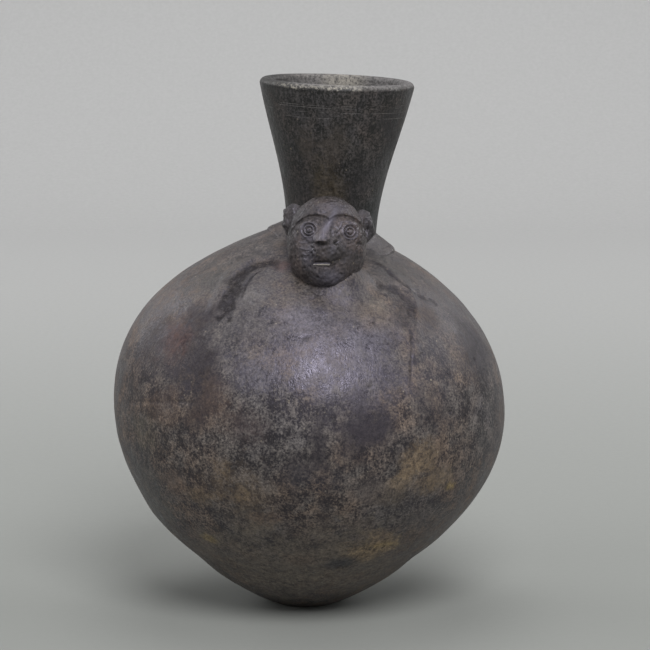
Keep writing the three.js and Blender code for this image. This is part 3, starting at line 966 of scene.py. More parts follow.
@dataclass(frozen=True)
class StainAndLightPatch:
    """A soft patch of colour: mostly a stain where air or fuel touched the clay in the firing; some patches
    are painted sheen, painted bounce light and painted reflections instead. A minus dull is a polish.
    """

    middle: Triple
    half_size: Triple
    colour: Triple
    strength: float
    dull: float
    fray: float = 2.6
    edge: Pair = (1.15, 0.25)

    def mask(self, nodes: Nodes, place: Wire, ragged: Wire) -> Wire:
        """How much of the stain is at a place.

        Args:
            nodes: The material's tree.
            place: Object coordinates.
            ragged: Noise that frays its edge.

        Returns:
            The mask.
        """
        away = nodes.vector("SUBTRACT", place, tuple(part * MM for part in self.middle))
        away = nodes.vector("MULTIPLY", away, tuple(1.0 / (size * MM) for size in self.half_size))
        distance = nodes.vector("LENGTH", away) + ragged.swing() * self.fray
        return distance.ramp(*self.edge) * self.strength


@dataclass(frozen=True)
class BurnishedClay:
    """Reduction-fired dark clay, burnished with a pebble. Colours are screen colours up to 255.

    The weights rough_parts are for mottle, patches, strokes and wiping, and height_parts for mottle, patches,
    strokes, grain, specks and pores.
    """

    name: str
    mid: Triple = (70, 66, 62)
    warm: Triple = (81, 70, 60)
    cool: Triple = (68, 65, 63)
    soot_and_shade: Triple = (30, 27, 26)
    # The dark of pores, and on the head the dark of dirt and painted shade.
    grime_and_shade: Triple = (25, 23, 19)
    # The dark of dirt and of painted shade in grooves and pits.
    grit: Triple = (150, 140, 122)
    tint: Triple = (1.0, 1.0, 1.0)
    gloss: float = 0.5
    roughness: float = 0.42
    bump: float = 0.5
    bump_height: float = 0.4
    mottle: float = 5.2
    grain: float = 2.6
    streaks: float = 1.8
    patches: float = 0.5
    wiped: float = 1.3
    darkest: float = 0.25
    coarse: float = 0.0
    coarse_heights: tuple[Pair, Pair] = ((-30.0, 15.0), (125.0, 90.0))
    coarse_across: Pair = (-30.0, 50.0)
    coarse_left: float = 1.3
    coarse_drop: float = 0.65
    broad_noise: Pattern = Pattern(34.0)
    patch_noise: Pattern = Pattern(9.0, 4.0, 0.6, shift=(0.31, 0.17, 0.05))
    stroke_noise: Pattern = Pattern(1.1, 2.0, 0.8, stretch=(1.0, 1.0, 0.16))
    mottle_noise: Pattern = Pattern(8.0, 5.0, 0.95, shift=(0.05, 0.11, 0.23))
    grain_noise: Pattern = Pattern(0.85, 1.0, 0.8)
    wiped_noise: Pattern = Pattern(3.6, 3.0, 0.7, stretch=(1.0, 1.0, 0.12))
    warm_edge: Pair = (0.36, 0.64)
    patch_edge: Pair = (0.3, 0.66)
    specks: Dots = Dots("Red", 2.6, 0.3, 0.3, (0.17, 0.06), 0.8)
    pores: Dots = Dots("Green", 2.1, 0.4, 0.2, (0.24, 0.08), 0.75)
    rough_parts: tuple[float, ...] = (1.0, 0.4, 0.4, 0.4)
    height_parts: tuple[float, ...] = (0.65, 0.2, 1.0, 0.25, 0.12, -0.35)
    clouds: tuple[StainAndLightPatch, ...] = ()
    cloud_noise: Pattern = Pattern(11.0, 6.0, 0.8)
    fleck_noise: Pattern = Pattern(1.8, 3.0, 0.9)
    blot_noise: Pattern = Pattern(6.0, 4.0, 0.9)
    cloud_contrast: Pair = (0.3, 0.7)
    cloud_parts: Pair = (1.75, 0.7)
    cloud_base: float = -0.22
    dirt_noise: Pattern = Pattern(1.8, 4.0, 0.9)
    dirt_edge: Pair = (0.38, 0.58)
    dirt_least: float = 0.4
    dirt_more: float = 0.8
    dirt_cover: float = 0.92
    dirt_dull: float = 0.4

    def build(self) -> Material:
        """The material.

        Returns:
            The material, ready for a mesh.
        """
        material = bpy.data.materials.new(self.name)
        nodes = Nodes.emptied(material)
        look = self._surface(nodes, nodes.add("ShaderNodeTexCoord").out("Object"))
        self._wear(look)
        bump = {"Strength": self.bump, "Distance": self.bump_height * MM, "Height": look.height}
        inputs = {
            "Base Color": look.colour, "Roughness": look.rough,
            "Normal": nodes.add("ShaderNodeBump", None, bump).out("Normal"),
            "Specular IOR Level": self.gloss, "Specular Tint": (*self.tint, 1.0),
        }
        shader = nodes.add("ShaderNodeBsdfPrincipled", None, inputs)
        nodes.add("ShaderNodeOutputMaterial", None, {"Surface": shader.out("BSDF")})
        return material

    def _surface(self, nodes: Nodes, place: Wire) -> Look:
        """The clay's own mottling, grain and strokes.

        Args:
            nodes: The material's tree.
            place: Object coordinates.

        Returns:
            The bare surface.
        """
        patterns = (
            self.mottle_noise, self.patch_noise, self.stroke_noise, self.wiped_noise, self.grain_noise,
        )
        mottle, patchy, strokes, wiped, grain = (nodes.noise(place, pattern) for pattern in patterns)
        warm = nodes.noise(place, self.broad_noise).ramp(*self.warm_edge)
        colour = nodes.mix(warm, srgb(*self.cool), srgb(*self.warm))
        colour = nodes.mix(patchy.ramp(*self.patch_edge), srgb(*self.mid), colour)
        parts = nodes.parts(place)
        up, aside = parts.out("Z") * (1.0 / MM), parts.out("X") * (1.0 / MM)
        across = self.coarse_left - self.coarse_drop * aside.ramp(*self.coarse_across)
        coarse = 1.0 + self.coarse * up.band(*self.coarse_heights) * across
        swings = [mottle.swing(), patchy.swing(), strokes.swing(), wiped.swing()]
        weights = (self.mottle, self.patches, self.streaks, self.wiped, self.grain)
        shade = 1.0 + weighted([swings[0] * coarse, *swings[1:], grain.swing() * coarse], weights)
        colour = nodes.mix(1.0, colour, shade.highest(self.darkest), "MULTIPLY")
        rough = self.roughness + weighted(swings, self.rough_parts)
        speck = self.specks.mask(nodes, place, grain)
        pore = self.pores.mask(nodes, place, grain)
        height = weighted([mottle, patchy, strokes, grain, speck, pore], self.height_parts)
        look = Look(nodes, place, colour, rough, height)
        look.stain(speck * self.specks.cover, self.grit)
        look.stain(pore * self.pores.cover, self.soot_and_shade)
        return look

    def _wear(self, look: Look) -> None:
        """Fire clouds, painted sheen, painted bounce light and painted reflections, and dirt with painted
        shade, over the bare clay.

        Args:
            look: The surface so far, which takes the wear.
        """
        nodes, place = look.nodes, look.place
        ragged = nodes.noise(place, self.cloud_noise)
        patterns = (self.fleck_noise, self.blot_noise)
        flecked = [nodes.noise(place, pattern).ramp(*self.cloud_contrast, False) for pattern in patterns]
        shade = weighted(flecked, self.cloud_parts) + self.cloud_base
        for cloud in self.clouds:
            mask = cloud.mask(nodes, place, ragged)
            stain = nodes.mix(1.0, srgb(*cloud.colour), shade, "MULTIPLY")
            look.colour = nodes.mix(mask, look.colour, stain)
            look.rough = look.rough + mask * cloud.dull
        # Dirt and painted shade from the mesh's values: a dark stain in grooves, pits and hollows.
        frayed = nodes.noise(place, self.dirt_noise).ramp(*self.dirt_edge, False)
        dirt = nodes.attribute("dirt") * (self.dirt_least + self.dirt_more * frayed)
        look.stain(dirt.lowest(self.dirt_cover), self.grime_and_shade)
        look.rough = look.rough + dirt * self.dirt_dull


@dataclass(frozen=True)
class WornRimClay(BurnishedClay):
    """The clay of the neck and rim, whose lip is worn pale, with painted light on the inside under the lip and
    painted shade on the left just below it.

    Levels are heights along the neck. An edge is over the level worn_from, and a turn is along X.
    """

    neck: NeckForm = NeckForm(BodyForm())
    lines: tuple[float, ...] = (50.6, 52.4, 53.2, 48.4)
    line_noise: Pattern = Pattern(9.0, stretch=(1.0, 1.0, 4.0))
    line_waver: float = 0.5
    line_edge: Pair = (0.05, 0.0)
    line_breaks: Pair = (0.46, 0.58)
    line_depth: float = 0.8
    line_cover: float = 0.34
    line_colour: Triple = (104, 100, 98)
    fray_noise: Pattern = Pattern(3.4, 4.0, 0.75)
    grit_noise: Pattern = Pattern(1.3, 3.0, 0.85)
    worn_from: float = 59.7
    # The pale of the worn lip, and of the painted light inside it.
    worn_and_lit: Triple = (124, 121, 121)
    worn_hollows: Triple = (66, 64, 64)
    worn_tones: Pair = (0.34, 0.66)
    worn_fray: float = 6.0
    worn_edge: Pair = (-0.6, 0.8)
    lit_inside: Pair = (-14.0, 0.0)
    worn_turn: Pair = (-14.0, 4.0)
    worn_least: float = 0.25
    worn_cover: float = 0.85
    worn_dull: float = 0.2
    worn_rise: float = 0.6
    pale: Triple = (166, 160, 148)
    lip_fray: float = 3.0
    lip_edge: Pair = (-0.9, 0.1)
    lip_breaks: float = 4.0
    lip_top: Pair = (1.9, 0.4)
    lip_tones: Pair = (0.48, 0.6)
    lip_turn: tuple[Pair, Pair] = ((-13.0, -6.0), (26.0, 15.0))
    lip_cover: float = 0.8
    lip_least: float = 0.06
    lit_turn: tuple[Pair, Pair] = ((3.0, 13.0), (27.0, 17.0))
    lit_tones: Pair = (0.3, 0.6)
    lit_cover: float = 0.6
    # Painted shade on the left just below the lip.
    lip_shade: Triple = (30, 29, 29)
    lip_shade_turn: Pair = (0.0, -16.0)
    lip_shade_edge: Pair = (-4.0, -1.0)
    lip_shade_cover: float = 0.8

    def _wear(self, look: Look) -> None:
        """Wiping lines under the rim, and the pale gritty lip, with its painted light and shade.

        Args:
            look: The surface so far, which takes the wear.
        """
        super()._wear(look)
        lean = math.radians(self.neck.lean)
        origin = (self.neck.x * MM, 0.0, self.neck.seat * MM)
        away = look.nodes.vector("SUBTRACT", look.place, origin)
        level = look.nodes.vector("DOT_PRODUCT", away, (math.sin(lean), 0.0, math.cos(lean))) * (1.0 / MM)
        broken = look.nodes.noise(look.place, self.line_noise)
        for line in self.lines:
            offset = level + broken.swing() * self.line_waver - line
            groove = (offset * offset).ramp(*self.line_edge) * broken.ramp(*self.line_breaks)
            look.height = look.height - groove * self.line_depth
            look.stain(groove * self.line_cover, self.line_colour)
        self._lip(look, level - self.worn_from)

    def _lip(self, look: Look, level: Wire) -> None:
        """The wear of the lip, with painted light inside it and painted shade on its left, from the level over
        where it starts.

        Args:
            look: The surface so far, which takes the wear.
            level: The height over where the wear starts.
        """
        nodes = look.nodes
        inside = nodes.attribute("inside")
        turned = nodes.parts(look.place).out("X") * (1.0 / MM)
        frayed = nodes.noise(look.place, self.fray_noise)
        gritty = nodes.noise(look.place, self.grit_noise)
        worn_and_lit = (level + frayed.swing() * self.worn_fray).ramp(*self.worn_edge)
        # Painted light: the inside under the lip takes the pale wear colour, where the inner wall is lit.
        worn_and_lit = worn_and_lit.highest(inside * level.ramp(*self.lit_inside))
        worn_and_lit = worn_and_lit * (self.worn_least + (1.0 - self.worn_least) * turned.ramp(*self.worn_turn))
        tone = nodes.mix(gritty.ramp(*self.worn_tones), srgb(*self.worn_hollows), srgb(*self.worn_and_lit))
        look.colour = nodes.mix(worn_and_lit * self.worn_cover, look.colour, tone)
        # Painted light: a paler band on the inside, where the lamps light the inner wall.
        lit = inside * turned.band(*self.lit_turn)
        look.stain(lit * worn_and_lit * self.lit_cover * gritty.ramp(*self.lit_tones), self.pale)
        # Painted shade: the left of the neck just below the worn lip darkened.
        lip_shaded = turned.ramp(*self.lip_shade_turn) * level.ramp(*self.lip_shade_edge)
        look.stain(lip_shaded * self.lip_shade_cover, self.lip_shade)
        edge = (level + frayed.swing() * self.lip_fray).ramp(*self.lip_edge)
        edge = edge * (level + gritty.swing() * self.lip_breaks).ramp(*self.lip_top) * (1.0 - inside)
        showing = turned.band(*self.lip_turn) * self.lip_cover + self.lip_least
        look.stain(edge * gritty.ramp(*self.lip_tones) * showing, self.pale)
        look.rough = look.rough + worn_and_lit * self.worn_dull
        look.height = look.height + worn_and_lit * gritty * self.worn_rise


@dataclass(frozen=True)
class ModelledClay(BurnishedClay):
    """The clay of the head: dirt and painted shade in its hollows, under the nose and under the jaw, and
    rubbing with painted highlights on what stands proud.
    """

    ragged_noise: Pattern = Pattern(3.0, 4.0, 0.65)
    # The violet of rubbing and of painted highlights.
    rubbed_highlight: Triple = (94, 91, 102)
    rub_highlight_least: float = 0.35
    rub_highlight_more: float = 1.1
    rub_highlight_cover: float = 0.85
    rub_polish: float = 0.1
    # The pale of the painted highlight on the lower lip.
    pale_highlight: Triple = (168, 162, 152)
    pale_highlight_edge: Pair = (1.0, 1.7)
    soil_shade_least: float = 0.75
    soil_shade_more: float = 0.5
    soil_shade_cover: float = 0.93
    soil_shade_dull: float = 0.2

    def _wear(self, look: Look) -> None:
        """Dirt with painted shade, and rubbing with painted highlights, from the mesh's own values.

        Args:
            look: The surface so far, which takes the wear.
        """
        ragged = look.nodes.noise(look.place, self.ragged_noise)
        # Painted highlights: the rubbing values lighten proud parts violet, and the lower lip pale.
        rub = look.nodes.attribute("rub") * (self.rub_highlight_least + self.rub_highlight_more * ragged)
        look.stain(rub.lowest(self.rub_highlight_cover), self.rubbed_highlight)
        look.stain(rub.ramp(*self.pale_highlight_edge), self.pale_highlight)
        # Dirt and painted shade from the mesh's values: darker hollows, nostrils, under the nose and under the
        # jaw.
        dirt = look.nodes.attribute("dirt") * (self.soil_shade_least + self.soil_shade_more * ragged)
        look.stain(dirt.lowest(self.soil_shade_cover), self.soot_and_shade)
        look.rough = look.rough - rub.lowest(1.0) * self.rub_polish + dirt * self.soil_shade_dull


def front_heavy_turns(count: int, focus: float = 1.5, edge: Pair = (-0.3, 0.5)) -> Array:
    """Radians round the body from behind it, closer together on its front.

    Args:
        count: How many.
        focus: How much closer the front ones stand.
        edge: The cosines between which the spacing changes.

    Returns:
        The turns.
    """
    fine = np.linspace(-math.pi, math.pi, FINE_STEPS)
    weight = 1.0 + focus * smoothstep(np.cos(fine), *edge)
    total = np.concatenate([[0.0], np.cumsum((weight[1:] + weight[:-1]) / 2)])
    return np.interp(np.linspace(0.0, total[-1], count + 1)[:-1], total, fine)


def framed(values: Array, before: int, count: int) -> Array:
    """Values for some rings of a loft, with 0 on the others."""
    whole = np.zeros((count, values.shape[1]))
    whole[before : before + len(values)] = values
    return whole


@dataclass
class Body:
    """The two half shells, and the arms laid along the shoulder.

    An arm's path is degrees from the front, and a share of the height from the belly to the crown.
    """

    form: BodyForm
    marks: WallMarks
    neck: NeckForm
    clay: Material
    sides: int = 400
    bowl_rings: int = 170
    dome_rings: int = 150
    crown_rings: int = 14
    inner_rings: int = 36
    foot_rings: tuple[float, ...] = (0.05, 4.0, 8.0, 11.0)
    gap: float = 0.04
    seat_clear: float = 0.5
    morph_from: float = 34.0
    arm_half_width: float = 5.0
    arm_rise: float = 0.85
    arm_fill: float = 1.3
    arm_edge: float = 0.02
    arm_sunk: float = 0.03
    arm_root: float = 0.8
    arm_end: float = 0.3
    arm_phase: Pair = (0.06, 0.97)
    arm_taper: Pair = (0.2, 0.82)
    arm_lump: float = 0.12
    arm_lump_size: float = 9.0
    arm_steps: int = 110
    arm_ribs: int = 36
    path_steps: int = 20
    sharp: float = 40.0
    right_arm: tuple[Pair, ...] = (
        (38, 0.891), (46, 0.856), (51, 0.813), (48, 0.72), (41, 0.602), (36, 0.47), (32, 0.364),
    )
    left_arm: tuple[Pair, ...] = (
        (-27, 0.894), (-38, 0.885), (-44, 0.843), (-41.7, 0.766), (-39, 0.672), (-37, 0.588),
    )

    def _marked(self, curve: Bezier, t: Array, turns: Array) -> tuple[Array, Array]:
        """Rings of the outside with its marks.

        Args:
            curve: The outline.
            t: Parameters on it.
            turns: Radians round the body.

        Returns:
            The rings and the dirt and painted shade on them.
        """
        foot = self.form.rings(curve.at(t), turns)
        return self.marks.marked(foot, unit(self.form.rings(curve.offset(t, 1.0), turns) - foot))

    def _shell(
        self, name: str, parts: list[Array], first: int, dirt: Array, shown: int, ends: Ends
    ) -> Object:
        """A half shell.

        Args:
            name: The name of the piece.
            parts: Its rings, part by part.
            first: How many rings come before the outside.
            dirt: The dirt and painted shade on the outside.
            shown: How many rings of the outside may carry grit.
            ends: How the end rings are closed.

        Returns:
            The piece.
        """
        rings = np.concatenate(parts)
        strewn = framed(np.ones((shown, self.sides)), first, len(rings))
        stain = framed(dirt, first, len(rings))
        return loft(name, rings, ends, self.clay, self.sharp, dirt=stain, shown=strewn)

    def base_bowl(self) -> Object:
        """The lower half shell.

        Returns:
            The piece.
        """
        form = self.form
        turns = front_heavy_turns(self.sides)
        outside, dirt = self._marked(form.bowl, form.bowl.even(self.bowl_rings), turns)
        foot = form.rings(np.array([(radius, 0.0) for radius in self.foot_rings]), turns)
        ledge = (form.belly_radius - form.wall, form.belly_height + form.seam_rise - self.gap)
        inside = form.bowl.offset(form.bowl.even(self.inner_rings), -form.wall)
        inside = inside[inside[:, 1] > form.floor][:-1][::-1]
        floor = ((inside[-1, 0] - form.wall, form.floor), (self.foot_rings[0], form.floor))
        rest = form.rings(np.vstack([ledge, inside, floor]), turns)
        parts = [foot, outside, rest]
        return self._shell("base_bowl_clay", parts, len(foot), dirt, len(outside), Ends.CAPPED)

    def shoulder_dome(self) -> Object:
        """The upper half shell, open where the neck stands.

        Returns:
            The piece.
        """
        form = self.form
        turns = front_heavy_turns(self.sides)
        fine = np.linspace(0.0, 1.0, FINE_STEPS)
        morph_at = float(np.interp(-self.morph_from, -form.dome.at(fine)[:, 0], fine))
        outside, dirt = self._marked(form.dome, form.dome.even(self.dome_rings, 0.0, morph_at), turns)
        outside[0, :, 2] += self.gap
        share = np.linspace(0.0, 1.0, self.crown_rings + 1)[1:, None]
        radius = self.morph_from + (self.neck.radius - self.neck.wall - self.morph_from) * share
        start = form.settle(np.array([0.0, 0.0, form.dome.at(morph_at)[1]]))[0]
        centre = start + (self.neck.x - start) * share
        foot, out = form.shoulder_at(centre + radius * np.sin(turns), -radius * np.cos(turns))
        crown, crown_dirt = self.marks.marked(foot, out)
        under = foot - out * form.wall
        inside = form.dome.offset(form.dome.even(self.inner_rings, 0.0, morph_at), -form.wall)
        seat = (form.belly_radius - form.wall, form.belly_height + form.seam_rise + self.gap)
        inside = inside[inside[:, 1] > seat[1] + self.seat_clear][:-1][::-1]
        parts = [outside, crown, under[::-2], form.rings(np.vstack([inside, seat]), turns)]
        dirt = np.concatenate([dirt, crown_dirt])
        return self._shell("shoulder_dome_clay", parts, 0, dirt, len(outside), Ends.JOINED)

    def arm(self, name: str, path: tuple[Pair, ...]) -> Object:
        """A low coil pressed along the shoulder, thumbed flush at its edges.

        Args:
            name: The name of the piece.
            path: Its path.

        Returns:
            The piece.
        """
        form = self.form
        azimuths, shares = np.array(path, float).T
        heights = form.belly_height + (form.crown_height - form.belly_height) * shares
        corners = smooth_path(np.stack([azimuths, heights], axis=-1), self.path_steps)
        t = np.linspace(0.0, 1.0, self.arm_steps)
        known = np.linspace(0, 1, len(corners))
        middle = form.wall_at(*(np.interp(t, known, column) for column in corners.T))
        _, out = form.shoulder_at(middle[:, 0], middle[:, 1])
        aside = unit(np.cross(unit(np.gradient(middle, axis=0)), out))
        phase = self.arm_phase[0] + (self.arm_phase[1] - self.arm_phase[0]) * t
        fullness = self.arm_end + (1.0 - self.arm_end) * np.sqrt(np.sin(math.pi * phase))
        across = np.linspace(-1.0, 1.0, self.arm_ribs)
        reach = (fullness * self.arm_half_width)[:, None] * across
        sides = middle[:, None, :] + aside[:, None, :] * reach[..., None]
        foot, out = self.marks.shoulder_at(sides[..., 0], sides[..., 1])
        crown = 0.5 + 0.5 * np.cos(math.pi * across)
        lumps = 1.0 + self.arm_lump * SmoothNoise(Seed.ARM, self.arm_lump_size).at(foot)
        thickness = self.arm_edge + self.arm_rise * (fullness**self.arm_fill)[:, None] * crown * lumps
        start, end = self.arm_taper
        thickness = thickness * smoothstep(t, 0.0, start)[:, None] * (1.0 - smoothstep(t, end, 1.0))[:, None]
        top = foot + out * (thickness - self.arm_sunk)[..., None]
        root = foot - out * self.arm_root
        return pad(name, top, root, Ends.CAPPED, self.clay, self.sharp, self.marks.relief(foot)[1])

    def build(self) -> dict[str, Object]:
        """Makes the pieces.

        Returns:
            Each piece by the CAD node that it stands for.
        """
        return {
            "base_bowl": self.base_bowl(),
            "shoulder_dome": self.shoulder_dome(),
            "right_arm": self.arm("right_arm_clay", self.right_arm),
            "left_arm": self.arm("left_arm_clay", self.left_arm),
        }


@dataclass
class Neck:
    """The neck tube, the coil of its rim, and the collar over its joint.

    Both walls are turned from one loop: the shares loop_marks are where it leaves the root, reaches the lip,
    leaves the lip, meets the root inside, and turns back under it.
    """

    form: NeckForm
    marks: WallMarks
    tube_clay: Material
    rim_clay: Material
    body_clay: Material
    sides: int = 220
    loop_steps: int = 300
    loop_marks: tuple[float, ...] = (0.015, 0.45, 0.55, 0.97, 0.985)
    root_left: float = -3.4
    root_right: float = 2.2
    wobble: float = 0.22
    wobble_size: float = 24.0
    wobble_detail: float = 2.0
    weld: float = 1e-6
    gap: float = 0.04
    collar_start: float = 2.0
    collar_reach: float = 7.2
    collar_ragged: float = 0.35
    collar_ragged_size: float = 11.0
    collar_circle: float = 22.0
    collar_root: float = 2.7
    collar_edge: float = 1.15
    collar_press: float = 0.25
    collar_soft: float = 0.22
    collar_faded: float = 0.05
    collar_fading: int = 8
    collar_lump: float = 0.1
    collar_lump_size: float = 8.0
    collar_over: float = 0.02
    collar_depth: float = 1.0
    collar_sharp: float = 60.0
    collar_sides: int = 260
    collar_steps: int = 40

    def _sizes(self) -> dict:
        """The turned wall's inputs in metres, before a piece sets which part of the outline it takes.

        Returns:
            Each input by its name.
        """
        form = self.form
        return {
            "Sides": self.sides, "Loop Steps": self.loop_steps,
            "Foot Radius": form.radius * MM, "Foot Pull": form.pull * MM,
            "Flare Radius": form.outside.second[0] * MM, "Flare Height": form.outside.second[1] * MM,
            "Rim Radius": form.rim_radius * MM, "Rim Height": form.length * MM,
            "From": 0.0, "To": 1.0, "Wall": form.wall * MM, "Lip Round": 0.0, "Root": 0.0, "Root Tilt": 0.0,
            "Wobble": self.wobble * MM, "Wobble Size": self.wobble_size * MM,
            "Place": (form.x * MM, 0.0, form.seat * MM), "Turn": (0.0, math.radians(form.lean), 0.0),
            "Clay": self.tube_clay,
        }

    def _tree(self, sizes: dict) -> NodeTree:
        """Geometry nodes that turn a closed wall: up the outside, over the top and down the inside.

        Args:
            sizes: The inputs.

        Returns:
            The tree.
        """
        nodes, given = Nodes.group("turned_wall", sizes)
        size = {name: given.out(name) for name in sizes}
        columns, rows = size["Sides"] + 1, size["Loop Steps"] + 1
        grid = {"Size X": 1.0, "Size Y": 1.0, "Vertices X": columns, "Vertices Y": rows}
        sheet = nodes.add("GeometryNodeMeshGrid", None, grid).out("Mesh")
        flat = nodes.parts(nodes.add("GeometryNodeInputPosition").out())
        turn = (flat.out("X") + 0.5) * (2.0 * math.pi)
        loop = flat.out("Y") + 0.5
        up, lip, past_lip, down, back = self.loop_marks
        rise = loop.ramp(up, lip, False) - loop.ramp(past_lip, down, False)
        over = loop.ramp(lip, past_lip, False)
        inward = over - loop.ramp(back, 1.0, False)
        rooted = loop.ramp(up, 0.0, False) + loop.ramp(down, back, False)
        t = size["From"] + (size["To"] - size["From"]) * rise
        left = 1.0 - t
        weights = [left * left * left, left * left * t * 3.0, left * t * t * 3.0, t * t * t]
        radii = ("Foot Radius", "Foot Radius", "Flare Radius", "Rim Radius")
        radius = weighted(weights, [size[name] for name in radii])
        height = weighted(weights[1:], [size[name] for name in ("Foot Pull", "Flare Height", "Rim Height")])
        radius = radius - size["Wall"] * (0.5 - 0.5 * (inward * math.pi).cosine())
        height = height + size["Lip Round"] * (over * math.pi).sine()
        height = height - rooted * (size["Root"] - size["Root Tilt"] * turn.cosine())
        cosine, sine = turn.cosine(), turn.sine()
        place = nodes.joined(radius * cosine, radius * sine, height)
        lump = {"Vector": place, "Scale": size["Wobble Size"] ** -1.0, "Detail": self.wobble_detail}
        lumps = nodes.add("ShaderNodeTexNoise", {"noise_dimensions": "3D"}, lump).out("Fac")
        wobbled = radius - size["Wobble"] * lumps
        placed = nodes.joined(wobbled * cosine, wobbled * sine, height)
        kept = {"data_type": "FLOAT", "domain": "POINT"}
        steps = (
            ("StoreNamedAttribute", kept, {"Name": "inside", "Value": over}),
            ("SetPosition", None, {"Position": placed}),
            ("MergeByDistance", None, {"Distance": self.weld}),
            ("Transform", None, {"Translation": size["Place"], "Rotation": size["Turn"]}),
        )
        for kind, settings, inputs in steps:
            sheet = nodes.add("GeometryNode" + kind, settings, {"Geometry": sheet, **inputs}).out()
        nodes.deliver(sheet, size["Clay"])
        return nodes.tree

    def collar(self) -> Object:
        """The coil pressed over the joint of neck and shoulder, which ends in a soft step.

        Returns:
            The piece.
        """
        form = self.form
        angles = np.linspace(0.0, 2.0 * math.pi, self.collar_sides, endpoint=False)[:, None]
        share = np.linspace(0.0, 1.0, self.collar_steps)
        circle = np.concatenate([np.cos(angles), np.sin(angles), 0.0 * angles], axis=1) * self.collar_circle
        ragged = self.collar_ragged * SmoothNoise(Seed.COLLAR_EDGE, self.collar_ragged_size).at(circle)
        reach = self.collar_start + self.collar_reach + ragged[:, None]
        radius = form.radius - self.collar_start + reach * share
        foot, out = self.marks.shoulder_at(form.x + radius * np.cos(angles), radius * np.sin(angles))
        fading = self.collar_faded + (1.0 - self.collar_faded) * np.abs(np.cos(angles)) ** self.collar_fading
        edge = self.collar_edge * fading
        thickness = edge + (self.collar_root - edge) * (1.0 - share) ** 2
        past = np.clip((share - 1.0 + self.collar_soft) / self.collar_soft, 0.0, 1.0)
        rounding = np.sqrt(1.0 - past**2) * (1.0 + self.collar_press * np.cos(angles))
        lumps = 1.0 + self.collar_lump * SmoothNoise(Seed.COLLAR, self.collar_lump_size).at(foot)
        top = foot + out * (thickness * rounding * lumps + self.collar_over)[..., None]
        root = foot - out * self.collar_depth
        return pad("neck_collar_clay", top, root, Ends.JOINED, self.body_clay, self.collar_sharp)

    def build(self) -> dict[str, Object]:
        """Makes the pieces.

        Returns:
            Each piece by the CAD node that it stands for.
        """
        form, sizes = self.form, self._sizes()
        tree = self._tree(sizes)
        levels = (form.rim_height, form.lip_round, form.rim_height - self.gap)
        seat, lip, above = (float(form.outside.at_height(form.length - level)) for level in levels)
        middle, tilt = 0.5 * (self.root_left + self.root_right), 0.5 * (self.root_left - self.root_right)
        tube = {**sizes, "To": seat, "Root": middle * MM, "Root Tilt": tilt * MM}
        rim = {**sizes, "From": above, "To": lip, "Lip Round": form.lip_round * MM, "Clay": self.rim_clay}
        return {
            "neck_tube": geometry_piece("neck_tube_clay", None, tree, tube),
            "rim_coil": geometry_piece("rim_coil_clay", None, tree, rim),
            "neck_collar": self.collar(),
        }


def geometry_piece(
    name: str, source: Mesh | None, tree: NodeTree, values: dict, sharp: float = 50.0
) -> Object:
    """The plain mesh that a geometry node tree makes.

    Args:
        name: The name of the piece.
        source: The mesh that the tree starts from, if it needs one.
        tree: The tree.
        values: The tree's inputs by name, in metres.
        sharp: Edges that fold by more than this, in degrees, stay crisp.

    Returns:
        The piece, smooth, at the origin.
    """
    mesh = source if source is not None else bpy.data.meshes.new(name + "_source")
    carrier = linked(name + "_carrier", mesh)
    modifier = carrier.modifiers.new("made", "NODES")
    modifier.node_group = tree
    for item in tree.interface.items_tree:
        if item.item_type == "SOCKET" and item.in_out == "INPUT" and item.name in values:
            modifier[item.identifier] = values[item.name]
    graph = bpy.context.evaluated_depsgraph_get()
    made = bpy.data.meshes.new_from_object(carrier.evaluated_get(graph))
    carrier.modifiers.remove(modifier)
    bpy.data.objects.remove(carrier)
    made.name = name
    made.shade_smooth()
    made.set_sharp_from_angle(angle=math.radians(sharp))
    return linked(name, made)


def polar_directions(rings: int, sides: int, dense: float, pole: float = 0.004) -> Array:
    """Directions round -Y, from the front pole to the back pole.

    Args:
        rings: How many circles of directions.
        sides: How many directions in each.
        dense: Above 1 the circles stand closer together at the front.
        pole: The share of the way at which the first circle stands off its pole, and the last off its own.

    Returns:
        An array (ring, side, 3).
    """
    away = math.pi * np.linspace(pole, 1.0 - pole, rings)[:, None] ** dense
    turn = np.linspace(0.0, 2.0 * math.pi, sides, endpoint=False)[None, :]
    front = -np.cos(away) + 0.0 * turn
    return np.stack([np.sin(away) * np.cos(turn), front, np.sin(away) * np.sin(turn)], axis=-1)


def ring_normals(rings: Array, nudge: float = 1e-12) -> Array:
    """Directions out of a loft whose rings run anticlockwise as seen from ahead of its first ring."""
    along = np.gradient(rings, axis=0)
    around = np.roll(rings, -1, 1) - np.roll(rings, 1, 1)
    return unit(np.cross(around, along) + nudge)


